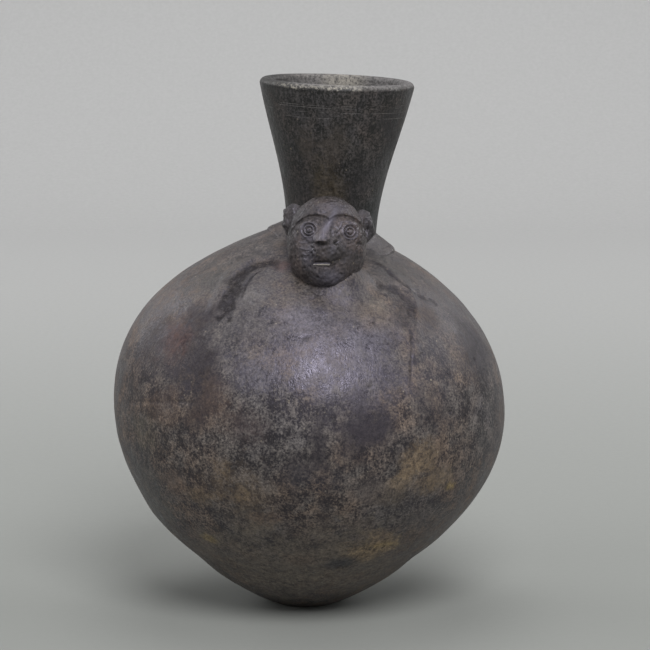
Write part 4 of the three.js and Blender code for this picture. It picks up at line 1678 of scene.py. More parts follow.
@dataclass(frozen=True)
class HeadForm:
    """The monkey's head in its own frame: it looks along -Y, and X runs to the right seen from the front."""

    body: BodyForm
    x: float = 8.3
    y: float = -36.5
    rise: float = 9.4
    pitch: float = 14.0
    half_width: float = 14.9
    front: float = 14.4
    back: float = 20.0
    half_height: float = 18.0
    squareness: float = 2.1
    face_from: float = 0.05
    face_full: float = 0.5
    chin_skew: float = -1.9
    forehead_skew: float = 3.7
    forehead_height: float = 13.0
    muzzle_out: float = 2.6
    muzzle_half_width: float = 7.9
    muzzle_half_height: float = 6.2
    muzzle_flat: float = 0.41
    muzzle_height: float = -4.2
    muzzle_shift: float = 1.4
    chin_out: float = 2.4
    chin_half_width: float = 8.0
    chin_half_height: float = 6.0
    chin_height: float = -14.5
    nose_out: float = 3.0
    nose_half_width: float = 3.1
    nose_height: float = 0.0
    nose_tip: float = 0.8
    nose_underside: float = 1.6
    nose_rise: float = 6.0
    bridge_out: float = 1.2
    bridge_half_width: float = 2.0
    bridge_top: float = 14.0
    bridge_fade: float = 4.0
    brow_out: float = 0.95
    brow_height: float = 9.5
    brow_spread: float = 5.5
    brow_arch: float = 0.065
    brow_middle: float = 0.95
    brow_edge: float = 0.7

    @cached_property
    def origin(self) -> Array:
        """Where the head's frame stands on the shoulder."""
        foot, _ = self.body.shoulder_at(np.array(self.x), np.array(self.y))
        return foot + np.array([0.0, 0.0, self.rise])

    def placed(self, points: Array) -> Array:
        """Points of the head's frame in the bottle's frame."""
        x, y, z = np.moveaxis(points, -1, 0)
        return np.stack([x, *rotated(y, z, -self.pitch)], axis=-1) + self.origin

    def brow_line(self, x: Array) -> Array:
        """The height of the brows across the face."""
        return self.brow_height - self.brow_arch * (np.abs(x - self.brow_middle) - self.brow_spread) ** 2

    def relief(self, x: Array, z: Array) -> Array:
        """How far the features stand out of the egg of the skull.

        Args:
            x: Places across the face.
            z: Places up the face.

        Returns:
            The height of the features.
        """
        share = smoothstep(z, 0.0, self.forehead_height)
        across = x - (self.chin_skew + (self.forehead_skew - self.chin_skew) * share)
        low = across - self.muzzle_shift
        mound = np.hypot(low / self.muzzle_half_width, (z - self.muzzle_height) / self.muzzle_half_height)
        muzzle = self.muzzle_out * (1.0 - smoothstep(mound, self.muzzle_flat, 1.0))
        level = z - self.chin_height
        chin = self.chin_out * bell(low, self.chin_half_width) * bell(level, self.chin_half_height)
        tip = self.nose_height - self.nose_tip
        run = smoothstep(z, tip, tip + self.nose_tip + self.bridge_half_width)
        run = run * (1.0 - smoothstep(z, self.bridge_top - self.bridge_fade, self.bridge_top))
        bridge = self.bridge_out * bell(across, self.bridge_half_width) * run
        run = smoothstep(z, tip - self.nose_underside, tip)
        run = run * (1.0 - smoothstep(z, self.nose_height, self.nose_height + self.nose_rise))
        nose = self.nose_out * bell(across, self.nose_half_width) * run
        brow = self.brow_out * smoothstep(z - self.brow_line(x), -self.brow_edge, self.brow_edge)
        return muzzle + chin + bridge + nose + brow

    def skull(self, directions: Array) -> Array:
        """Places on the head along directions from its middle.

        Args:
            directions: Directions of length 1.

        Returns:
            One place for each.
        """
        power = self.squareness
        size = (np.abs(directions) ** power).sum(axis=-1) ** (-1.0 / power)
        x, y, z = np.moveaxis(directions * size[..., None], -1, 0)
        x = x * self.half_width
        z = z * self.half_height
        ahead = smoothstep(-y, self.face_from, self.face_full)
        y = y * np.where(y < 0, self.front, self.back) - ahead * self.relief(x, z)
        return np.stack([x, y, z], axis=-1)

    def side_at(self, z: float) -> float:
        """The half width of the skull at a height."""
        share = 1.0 - abs(z / self.half_height) ** self.squareness
        return self.half_width * share ** (1.0 / self.squareness)


@dataclass(frozen=True)
class Scratch:
    """A line cut or raised on the face, along (x, z) pairs of the head's frame, which may be darkened with
    dirt and painted shade and lightened with rubbing and painted highlight.
    """

    path: tuple[Pair, ...]
    width: float
    rise: float
    dirt: float = 0.0
    rub: float = 0.0


@dataclass(frozen=True)
class Smudge:
    """A soft patch on the face, of dirt and painted shade or of rubbing and painted highlight: its middle and
    spread along x and z, and its strength.
    """

    x: float
    spread_x: float
    z: float
    spread_z: float
    strength: float

    def at(self, x: Array, z: Array) -> Array:
        """How strong it is at places."""
        return self.strength * bell(x - self.x, self.spread_x) * bell(z - self.z, self.spread_z)


@dataclass(frozen=True)
class EyeStamp:
    """Two rings pressed with a cut reed, with a burr round them and a bead of clay between.

    The dirt and painted shade is in the ring and the inner ring. The rubbing and painted highlight is on the
    burr, between the rings, and on the bead.
    """

    ring: float = 2.25
    ring_width: float = 0.3
    inner: float = 1.15
    inner_width: float = 0.22
    cut: float = 0.5
    inner_cut: float = 0.4
    burr: float = 0.28
    burr_off: float = 0.55
    burr_width: float = 0.32
    burr_even: float = 0.72
    burr_turn: float = 2.2
    bead: float = 0.16
    bead_width: float = 0.5
    between: float = 1.7
    dirt: Pair = (0.45, 0.55)
    rub: Triple = (0.8, 0.55, 0.5)

    def at(self, x: Array, z: Array) -> tuple[Array, Array, Array]:
        """The stamp at places round its middle.

        Args:
            x: Places across the face, from the stamp's middle.
            z: Places up the face, from the stamp's middle.

        Returns:
            How far it stands out, the dirt in it, and the rub on it.
        """
        away = np.hypot(x, z)
        worn_and_lit = self.burr_even + (1.0 - self.burr_even) * np.cos(np.arctan2(z, x) + self.burr_turn)
        ring = bell(away - self.ring, self.ring_width)
        inner = bell(away - self.inner, self.inner_width)
        burr = bell(away - self.ring - self.burr_off, self.burr_width) * worn_and_lit
        bead = bell(away, self.bead_width)
        rise = -self.cut * ring - self.inner_cut * inner + self.burr * burr + self.bead * bead
        dirt = np.maximum(self.dirt[0] * ring, self.dirt[1] * inner)
        middle = self.rub[1] * bell(away - self.between, self.ring_width) + self.rub[2] * bead
        return rise, dirt, np.maximum(self.rub[0] * burr, middle)


@dataclass
class Head:
    """The modelled head, its two ears, and the wad of clay that joins its throat to the shoulder.

    A nostril or pit is (x, z, radius) on the face. An ear is its side, its height and its hollow's depth.
    """

    form: HeadForm
    marks: WallMarks
    clay: Material
    body_clay: Material
    rings: int = 215
    sides: int = 440
    dense: float = 1.32
    sharp: float = 70.0
    face_edge: Pair = (-1.0, 3.0)
    uneven: float = 0.2
    uneven_size: float = 7.0
    knocks: float = 0.07
    knock_sizes: Pair = (1.6, 3.0)
    fine_waves: int = 40
    stamp: EyeStamp = EyeStamp()
    eyes: tuple[Pair, ...] = ((-6.8, 3.95), (8.7, 3.35))
    nostrils: tuple[Triple, ...] = ((-3.4, -1.9, 0.95), (1.0, -1.1, 1.25), (3.6, -1.0, 0.9))
    nostril_depth: float = 1.1
    nostril_flat: float = 1.15
    scratches: tuple[Scratch, ...] = (
        Scratch(
            ((-12.4, 5.4), (-10.2, 7.3), (-7.6, 8.6), (-5.0, 9.0), (-2.9, 8.4), (-1.6, 7.0)), 0.5, -0.3, 0.3,
        ),
        Scratch(
            (
                (3.4, 7.2), (4.8, 8.5), (6.9, 9.0), (9.9, 8.2), (12.0, 6.4), (13.2, 4.2), (13.9, 2.0),
                (13.9, -0.5), (12.6, -4.6),
            ),
            0.5, -0.3, 0.3,
        ),
        Scratch(((4.4, 6.3), (6.4, 7.1), (8.9, 6.9), (10.8, 5.6)), 0.35, 0.22, 0.0, 0.5),
        # The mouth's cut, darkened with dirt and painted shade.
        Scratch(((-4.9, -8.3), (-3.0, -8.55), (-0.2, -8.6), (1.4, -8.5)), 0.36, -0.6, 0.8),
        # The raised lower lip, painted pale as a highlight.
        Scratch(((-5.4, -9.0), (-3.2, -9.2), (-0.6, -9.25), (1.4, -9.1)), 0.24, 0.36, 0.0, 2.6),
        Scratch(((3.6, -3.0), (5.4, -5.2), (5.4, -7.2), (2.2, -8.2)), 0.7, -0.4, 0.35),
        Scratch(((-5.2, -2.4), (-6.0, -4.9), (-5.4, -7.4)), 0.7, -0.4, 0.4),
        Scratch(((-8.8, 0.8), (-7.0, -1.0), (-4.6, -1.2)), 0.6, -0.35, 0.35),
        Scratch(((-10.8, -0.2), (-8.6, -1.0), (-6.6, -0.6)), 0.35, 0.2, 0.0, 0.45),
        Scratch(((-10.2, -2.6), (-8.2, -3.4), (-6.2, -3.6)), 0.3, 0.2, 0.0, 0.5),
        Scratch(((-9.6, -4.6), (-7.8, -5.4), (-6.2, -5.2)), 0.3, 0.2, 0.0, 0.45),
        Scratch(((-8.6, -6.6), (-7.0, -7.8), (-6.4, -9.6)), 0.4, 0.2, 0.0, 0.4),
        Scratch(((4.9, 4.4), (5.2, 6.0), (6.2, 7.4)), 0.4, 0.25, 0.0, 0.6),
        Scratch(((2.0, 5.2), (1.6, 2.6), (1.8, 0.6)), 0.6, -0.3, 0.55),
    )
    scratch_ends: Pair = (0.1, 0.9)
    scratch_dark_spread: float = 1.1
    scratch_steps: int = 4
    face_pits: tuple[Triple, ...] = (
        (11.4, -1.0, 0.55), (10.3, -0.2, 0.45), (12.6, -0.9, 0.5), (8.4, 0.1, 0.45), (9.6, 0.6, 0.35),
        (10.9, 0.6, 0.35), (-4.6, -4.4, 0.55), (-5.4, -6.2, 0.5), (-4.0, -6.6, 0.5), (-6.2, -5.0, 0.45),
        (-9.6, -6.0, 0.5), (5.4, -12.4, 0.55), (-3.6, -13.6, 0.5), (-8.4, -10.0, 0.5), (7.2, 9.0, 0.35),
        (-0.6, 12.6, 0.3),
    )
    pit_depth: float = 0.4
    pit_dirt: float = 0.8
    # Painted highlight along the nose's ridge.
    nose_foot: float = -1.6
    nose_drift: float = 5.0
    nose_span: float = 13.0
    ridge_width: float = 1.9
    ridge_edges: tuple[Pair, Pair] = ((-1.5, 0.6), (11.0, 16.0))
    ridge_highlight: float = 0.9
    # Painted shade under the nose.
    shade_under_nose: Smudge = Smudge(0.0, 3.6, -1.9, 0.9, 0.8)
    # Painted shade under the left jaw and under the nose over the muzzle, then darker patches on the right of
    # the muzzle and on the left of the face.
    soiled_and_shaded: tuple[Smudge, ...] = (
        Smudge(-9.5, 3.2, -12.5, 3.6, 0.3),
        Smudge(1.6, 4.8, -4.9, 4.2, 0.8),
        Smudge(7.5, 5.0, -6.5, 4.5, 0.62),
        Smudge(-12.5, 2.6, 3.0, 4.5, 0.4),
    )
    # Painted highlights on the forehead and the left cheek, and painted light on the chin, which the face's
    # overhang shades.
    rubbed_highlight: tuple[Smudge, ...] = (
        Smudge(2.6, 6.0, 12.0, 2.6, 0.55),
        Smudge(-7.0, 2.8, -6.0, 4.0, 0.5),
        Smudge(1.5, 5.0, -13.8, 2.8, 0.75),
        Smudge(-6.0, 3.0, 0.4, 1.8, 0.6),
    )
    hair_dirt: float = 0.3
    hair_sides: float = 0.6
    hair_middle: float = 1.0
    hair_spread: Pair = (5.0, 11.0)
    hair_edge: Pair = (-0.4, 0.8)
    ear_half: Triple = (4.6, 2.8, 6.3)
    ear_sunk: float = 0.8
    ear_setback: float = 0.5
    ear_tilt: float = 20.0
    ears: tuple[tuple[Side, float, float], ...] = ((Side.LEFT, 8.8, 0.3), (Side.RIGHT, 6.4, 0.8))
    ear_rings: int = 70
    ear_sides: int = 120
    ear_dense: float = 1.15
    ear_hollow: Pair = (1.6, 4.4)
    ear_hollow_edge: Pair = (0.35, 1.05)
    ear_hollow_shift: float = 0.4
    ear_lump: float = 0.07
    ear_lump_size: float = 5.0
    ear_pitting: float = 0.025
    ear_pitting_size: float = 1.6
    ear_dirt: float = 0.46
    ear_dirt_deep: float = 0.5
    ear_fold_highlight: float = 0.1
    ear_fold: float = 1.25
    ear_fold_width: float = 0.3
    ear_fold_ahead: float = 0.2
    wad_half: Pair = (13.6, 11.4)
    wad_turn: Pair = (-112.0, 34.0)
    wad_ends: Pair = (0.015, 0.985)
    wad_start: float = 5.5
    wad_reach: float = 6.5
    wad_rise: float = 7.5
    wad_feather: float = 1.8
    wad_fuller: float = 0.45
    wad_fuller_at: float = -45.0
    wad_fuller_spread: float = 36.0
    wad_sunk: float = 0.02
    wad_root: float = 0.8
    wad_sharp: float = 60.0
    wad_rows: int = 120
    wad_steps: int = 44

    def _face(self, x: Array, z: Array, ahead: Array) -> tuple[Array, Array, Array]:
        """The fine marks of the face.

        Args:
            x: Places across the face.
            z: Places up the face.
            ahead: Near 1 on the face, and 0 behind it.

        Returns:
            How far the marks stand out, the dirt and painted shade in them, and the rubbing and painted
            highlight on them.
        """
        rise = np.zeros_like(x)
        soil_and_shade, rub_highlights = [rise], [rise]
        for eye_x, eye_z in self.eyes:
            stamped, dirt, rub = self.stamp.at(x - eye_x, z - eye_z)
            rise = rise + stamped
            soil_and_shade.append(dirt)
            rub_highlights.append(rub)
        # Painted shadow in the nostrils.
        for hole_x, hole_z, radius in self.nostrils:
            hollow = bell(np.hypot(x - hole_x, (z - hole_z) * self.nostril_flat), radius)
            rise = rise - self.nostril_depth * hollow
            soil_and_shade.append(hollow)
        places = np.stack([x, z], axis=-1)
        start, end = self.scratch_ends
        for scratch in self.scratches:
            path = smooth_path(np.array(scratch.path, float), self.scratch_steps)
            distance, share = distance_to_path(places, path)
            ends = smoothstep(share, 0.0, start) * (1.0 - smoothstep(share, end, 1.0))
            line = ends * bell(distance, scratch.width)
            rise = rise + scratch.rise * line
            soil_and_shade.append(scratch.dirt * ends * bell(distance, scratch.width * self.scratch_dark_spread))
            rub_highlights.append(scratch.rub * line)
        for pit_x, pit_z, radius in self.face_pits:
            hollow = bell(np.hypot(x - pit_x, z - pit_z), radius)
            rise = rise - self.pit_depth * hollow
            soil_and_shade.append(self.pit_dirt * hollow)
        across = x - (self.nose_foot + self.nose_drift * smoothstep(z, 0.0, self.nose_span))
        low, high = self.ridge_edges
        ridge = bell(across, self.ridge_width) * smoothstep(z, *low) * (1.0 - smoothstep(z, *high))
        hair = 1.0 + self.hair_sides * smoothstep(np.abs(x - self.hair_middle), *self.hair_spread)
        hair = self.hair_dirt * hair * smoothstep(z - self.form.brow_line(x), *self.hair_edge)
        soil_and_shade += [self.shade_under_nose.at(across, z), hair, *(smudge.at(x, z) for smudge in self.soiled_and_shaded)]
        rub_highlights += [self.ridge_highlight * ridge, *(smudge.at(x, z) for smudge in self.rubbed_highlight)]
        return rise * ahead, np.maximum.reduce(soil_and_shade) * ahead, np.maximum.reduce(rub_highlights) * ahead

    def head(self) -> Object:
        """The head with its face.

        Returns:
            The piece.
        """
        form = self.form
        points = form.skull(polar_directions(self.rings, self.sides, self.dense))
        normals = ring_normals(points)
        normals = normals * np.sign((normals * points).sum(axis=-1, keepdims=True))
        normals[:2] = np.array([0.0, -1.0, 0.0])
        ahead = smoothstep(-points[..., 1], *self.face_edge)
        rise, dirt, rub = self._face(points[..., 0], points[..., 2], ahead)
        lumps = self.uneven * (np.tanh(SmoothNoise(Seed.HEAD, self.uneven_size).at(points)) - 0.5)
        for seed, size in zip((Seed.KNOCKS, Seed.DIMPLES), self.knock_sizes):
            lumps = lumps + self.knocks * SmoothNoise(seed, size, self.fine_waves).at(points)
        placed = form.placed(points + normals * (rise + lumps)[..., None])
        return loft("monkey_head_clay", placed, Ends.CAPPED, self.clay, self.sharp, dirt=dirt, rub=rub)

    def ear(self, side: Side, height: float, deep: float) -> Object:
        """An ear: a flattened pellet, pressed hollow in front.

        Args:
            side: The side of the head.
            height: How far up the head it stands.
            deep: The depth of the hollow.

        Returns:
            The piece.
        """
        directions = polar_directions(self.ear_rings, self.ear_sides, self.ear_dense)
        points = directions * np.array(self.ear_half)
        width, tall = self.ear_hollow
        away = np.hypot((points[..., 0] - side.value * self.ear_hollow_shift) / width, points[..., 2] / tall)
        hollow = (1.0 - smoothstep(away, *self.ear_hollow_edge)) * (points[..., 1] < 0)
        points[..., 1] += deep * hollow
        lumps = 1.0 + self.ear_lump * SmoothNoise(Seed.EAR + side.value, self.ear_lump_size).at(points)
        pitting = SmoothNoise(Seed.EAR_PITTING, self.ear_pitting_size, self.fine_waves).at(points)
        points = points * (lumps + self.ear_pitting * pitting)[..., None]
        x, y = rotated(points[..., 0], points[..., 1], side.value * self.ear_tilt)
        x = x + side.value * (self.form.side_at(height) - self.ear_sunk)
        placed = self.form.placed(np.stack([x, y + self.ear_setback, points[..., 2] + height], axis=-1))
        # Painted highlight on the fold round the ear's hollow.
        fold = bell(away - self.ear_fold, self.ear_fold_width) * (directions[..., 1] < self.ear_fold_ahead)
        # Painted shade in the ear's hollow, over an even darkening of the whole ear.
        dirt = np.maximum(self.ear_dirt_deep * deep * hollow, self.ear_dirt)
        name = f"{side.name.lower()}_ear_clay"
        return loft(name, placed, Ends.CAPPED, self.clay, self.sharp, dirt=dirt, rub=self.ear_fold_highlight * fold)

    def throat_wad(self) -> Object:
        """The wad of clay worked from the throat out onto the shoulder, feathered to nothing.

        Returns:
            The piece.
        """
        form = self.form
        degrees = np.linspace(*self.wad_turn, self.wad_rows)[:, None]
        turn = np.radians(degrees)
        phase = np.clip(np.linspace(0.0, 1.0, self.wad_rows)[:, None], *self.wad_ends)
        fullness = np.sqrt(np.sin(math.pi * phase))
        share = np.linspace(0.0, 1.0, self.wad_steps)[None, :]
        reach = (self.wad_start + self.wad_reach * fullness) * share - self.wad_start
        x = form.x + (self.wad_half[0] + reach) * np.cos(turn)
        y = form.y + (self.wad_half[1] + reach) * np.sin(turn)
        foot, out = self.marks.shoulder_at(x, y)
        fuller = 1.0 + self.wad_fuller * bell(degrees - self.wad_fuller_at, self.wad_fuller_spread)
        thickness = self.wad_rise * fullness * fuller * (1.0 - share) ** self.wad_feather
        top = foot + out * (thickness - self.wad_sunk)[..., None]
        root = foot - out * self.wad_root
        return pad("throat_wad_clay", top, root, Ends.CAPPED, self.body_clay, self.wad_sharp)

    def build(self) -> dict[str, Object]:
        """Makes the pieces.

        Returns:
            Each piece by the CAD node that it stands for.
        """
        pieces = {"monkey_head": self.head()}
        for side, height, deep in self.ears:
            pieces[f"{side.name.lower()}_ear"] = self.ear(side, height, deep)
        pieces["throat_wad"] = self.throat_wad()
        return pieces


@dataclass
class Grit:
    """Grains of the clay's temper that stand a little out of the burnished wall."""

    clay: Material
    share: float = 2200.0
    smallest: float = 0.14
    largest: float = 0.3
    sunk: float = 0.72
    seed: int = 7
    size_seed: int = 3
    only_shown: float = 0.99

    def _tree(self, wall: Mesh, sizes: dict) -> NodeTree:
        """Geometry nodes that strew low grains over the shown side of a wall.

        Args:
            wall: A wall.
            sizes: The other inputs.

        Returns:
            The tree.
        """
        nodes, given = Nodes.group("strewn_grit", {"Geometry": wall, **sizes})
        shown = nodes.add("GeometryNodeInputNamedAttribute", {"data_type": "FLOAT"}, {"Name": "shown"})
        above = {"A": shown.out("Attribute"), "B": self.only_shown}
        chosen = nodes.add("FunctionNodeCompare", {"data_type": "FLOAT", "operation": "GREATER_THAN"}, above)
        places = {
            "Mesh": given.out("Geometry"), "Density": given.out("Share"), "Seed": given.out("Seed"),
            "Selection": chosen.out("Result"),
        }
        strewn = nodes.add("GeometryNodeDistributePointsOnFaces", {"distribute_method": "RANDOM"}, places)
        limits = {"Min_001": given.out("Smallest"), "Max_001": given.out("Largest"), "Seed": self.size_seed}
        size = nodes.add("FunctionNodeRandomValue", {"data_type": "FLOAT"}, limits).out("Value_001")
        depth = {"Vector": strewn.out("Normal"), "Scale": size * given.out("Sunk") * -1.0}
        inwards = nodes.add("ShaderNodeVectorMath", {"operation": "SCALE"}, depth).out("Vector")
        moved = {"Geometry": strewn.out("Points"), "Offset": inwards}
        grain = nodes.add("GeometryNodeMeshIcoSphere", None, {"Radius": 1.0, "Subdivisions": 1})
        instances = {
            "Points": nodes.add("GeometryNodeSetPosition", None, moved).out("Geometry"),
            "Instance": grain.out("Mesh"), "Rotation": strewn.out("Rotation"), "Scale": size,
        }
        nodes.deliver(nodes.add("GeometryNodeInstanceOnPoints", None, instances).out(), given.out("Clay"))
        return nodes.tree

    def build(self, walls: list[Object]) -> list[Object]:
        """Strews each wall.

        Args:
            walls: Pieces whose "shown" value is 1 where grains may stand.

        Returns:
            One piece of grains for each wall.
        """
        sizes = {
            "Share": self.share, "Smallest": self.smallest * MM, "Largest": self.largest * MM,
            "Sunk": self.sunk, "Seed": self.seed, "Clay": self.clay,
        }
        tree = self._tree(walls[0].data, sizes)
        made = []
        for number, wall in enumerate(walls):
            values = {**sizes, "Seed": self.seed + number}
            made.append(geometry_piece(wall.name.replace("_clay", "_grit"), wall.data, tree, values))
        return made


@dataclass
class Studio:
    """Floor and backdrop, soft lamps and the camera. Metres, except where noted.

    A lamp is its name, place, width and power.
    """

    eye_mm: Triple = (7.56, -1100.0, 290.0)
    aim_mm: Triple = (7.56, 0.0, 109.66)
    pixels_long: float = 2870.0
    lamp_aim: Triple = (0.0, 0.0, 0.1)
    lamps: tuple[tuple[str, Triple, float, float], ...] = (
        ("key", (0.2, -0.95, 1.0), 0.66, 13.3),
        ("left_fill", (-1.2, -0.35, 0.75), 0.9, 3.1),
        ("right_fill", (1.2, -0.3, 0.75), 0.9, 2.8),
        ("top", (0.0, 0.15, 1.35), 0.8, 2.35),
        ("wall", (0.0, 0.6, 1.6), 1.0, 5.0),
        ("left_rear", (-1.0, 0.75, 0.75), 0.7, 4.0),
        ("right_rear", (1.0, 0.75, 0.75), 0.7, 3.5),
    )
    world_grey: float = 0.24
    seen_grey: float = 0.45
    wall_grey: Triple = (213, 213, 213)
    floor_grey: Triple = (144, 146, 143)
    tooth_grey: Triple = (132, 134, 131)
    tooth: Pattern = Pattern(3.0)
    tooth_cover: float = 0.2
    tooth_rough: float = 0.05
    paper_rough: float = 0.9
    paper_gloss: float = 0.1
    paper_turns: Pair = (-0.15, 1.5)
    fade: Pair = (1.0, 2.4)
    near: float = -6.0
    depth: float = 1.1
    bend: float = 0.5
    bend_steps: int = 12
    height: float = 2.2
    half_width: float = 6.0

    @staticmethod
    def _aimed(name: str, data: ID, place: Vector, target: Vector) -> Object:
        """A lamp or camera at a place, turned to a target.

        Args:
            name: Its name.
            data: The lamp or camera.
            place: Where it stands.
            target: What it looks at.

        Returns:
            The object.
        """
        made = linked(name, data)
        made.location = place
        made.rotation_euler = (target - place).to_track_quat("-Z", "Y").to_euler()
        return made

    def camera(self) -> None:
        """A long lens from a little above, as in the photograph."""
        data = bpy.data.cameras.new("camera")
        data.sensor_width = SENSOR_WIDTH
        data.lens = self.pixels_long * SENSOR_WIDTH / PHOTO_WIDTH
        eye, aim = Vector(self.eye_mm) * MM, Vector(self.aim_mm) * MM
        bpy.context.scene.camera = self._aimed("camera", data, eye, aim)

    def light(self) -> None:
        """Broad soft lamps round the object and an even world."""
        for name, place, size, power in self.lamps:
            data = bpy.data.lights.new(name, "AREA")
            data.shape = "DISK"
            data.size = size
            data.energy = power
            self._aimed(name, data, Vector(place), Vector(self.lamp_aim))
        world = bpy.data.worlds.new("studio")
        nodes = Nodes.emptied(world)
        ray = nodes.add("ShaderNodeLightPath")
        kinds = ("Is Camera Ray", "Is Glossy Ray", "Is Transmission Ray")
        direct, glossy, through = (ray.out(kind) for kind in kinds)
        seen = direct.highest(glossy).highest(through)
        strength = self.world_grey + (self.seen_grey - self.world_grey) * seen
        plain = nodes.add("ShaderNodeBackground", None, {"Color": WHITE, "Strength": strength})
        nodes.add("ShaderNodeOutputWorld", None, {"Surface": plain.out()})
        bpy.context.scene.world = world

    def paper(self) -> Material:
        """The grey paper of floor and backdrop, painted darker on the floor and lighter up the backdrop as
        painted shade and light, which fades into an even haze far from the object.

        Returns:
            The material.
        """
        material = bpy.data.materials.new("studio_paper")
        nodes = Nodes.emptied(material)
        place = nodes.add("ShaderNodeTexCoord").out("Object")
        tooth = nodes.noise(place, self.tooth)
        parts = nodes.parts(place)
        x, y = parts.out("X"), parts.out("Y")
        # Painted shade and light: darker paper on the floor, lighter up the backdrop.
        colour = nodes.mix(y.ramp(*self.paper_turns), srgb(*self.floor_grey), srgb(*self.wall_grey))
        inputs = {
            "Base Color": nodes.mix(tooth * self.tooth_cover, colour, srgb(*self.tooth_grey)),
            "Roughness": self.paper_rough + self.tooth_rough * tooth, "Specular IOR Level": self.paper_gloss,
        }
        shader = nodes.add("ShaderNodeBsdfPrincipled", None, inputs)
        far = ((x * x) ** 0.5).highest(y * -1.0).ramp(*self.fade)
        share = far * nodes.add("ShaderNodeLightPath").out("Is Camera Ray")
        glow = {"Color": WHITE, "Strength": self.seen_grey}
        haze = nodes.add("ShaderNodeEmission", None, glow)
        mixed = nodes.add("ShaderNodeMixShader", None, {0: share, 1: shader.out("BSDF"), 2: haze.out()})
        nodes.add("ShaderNodeOutputMaterial", None, {"Surface": mixed.out()})
        return material

    def sweep(self) -> Object:
        """A floor that curves up into a backdrop behind the bottle.

        Returns:
            The floor with its backdrop.
        """
        outline = [(self.near, 0.0), (self.depth, 0.0)]
        for step in range(1, self.bend_steps + 1):
            turn = math.radians(RIGHT_ANGLE * step / self.bend_steps)
            outline.append((self.depth + self.bend * math.sin(turn), self.bend * (1.0 - math.cos(turn))))
        outline.append((self.depth + self.bend, self.height))
        points = [(side * self.half_width, y, z) for y, z in outline for side in (-1, 1)]
        faces = [(2 * i, 2 * i + 1, 2 * i + 3, 2 * i + 2) for i in range(len(outline) - 1)]
        mesh = bpy.data.meshes.new("sweep")
        mesh.from_pydata(points, [], faces)
        mesh.shade_smooth()
        mesh.materials.append(self.paper())
        return linked("sweep", mesh)

    def build(self) -> None:
        """Sets up everything round the object."""
        bpy.context.scene.view_settings.view_transform = "Standard"
        self.camera()
        self.light()
        self.sweep()


def clouds_on(form: Union[BodyForm, NeckForm], stains: tuple) -> tuple[StainAndLightPatch, ...]:
    """Stains on a form.

    Args:
        form: The form.
        stains: For each, its degrees from the front, its height, and a fire cloud's fields after the first.

    Returns:
        The stains.
    """
    return tuple(
        StainAndLightPatch(tuple(form.wall_at(np.array(turn), np.array(height)).tolist()), *looks)
        for turn, height, *looks in stains
    )


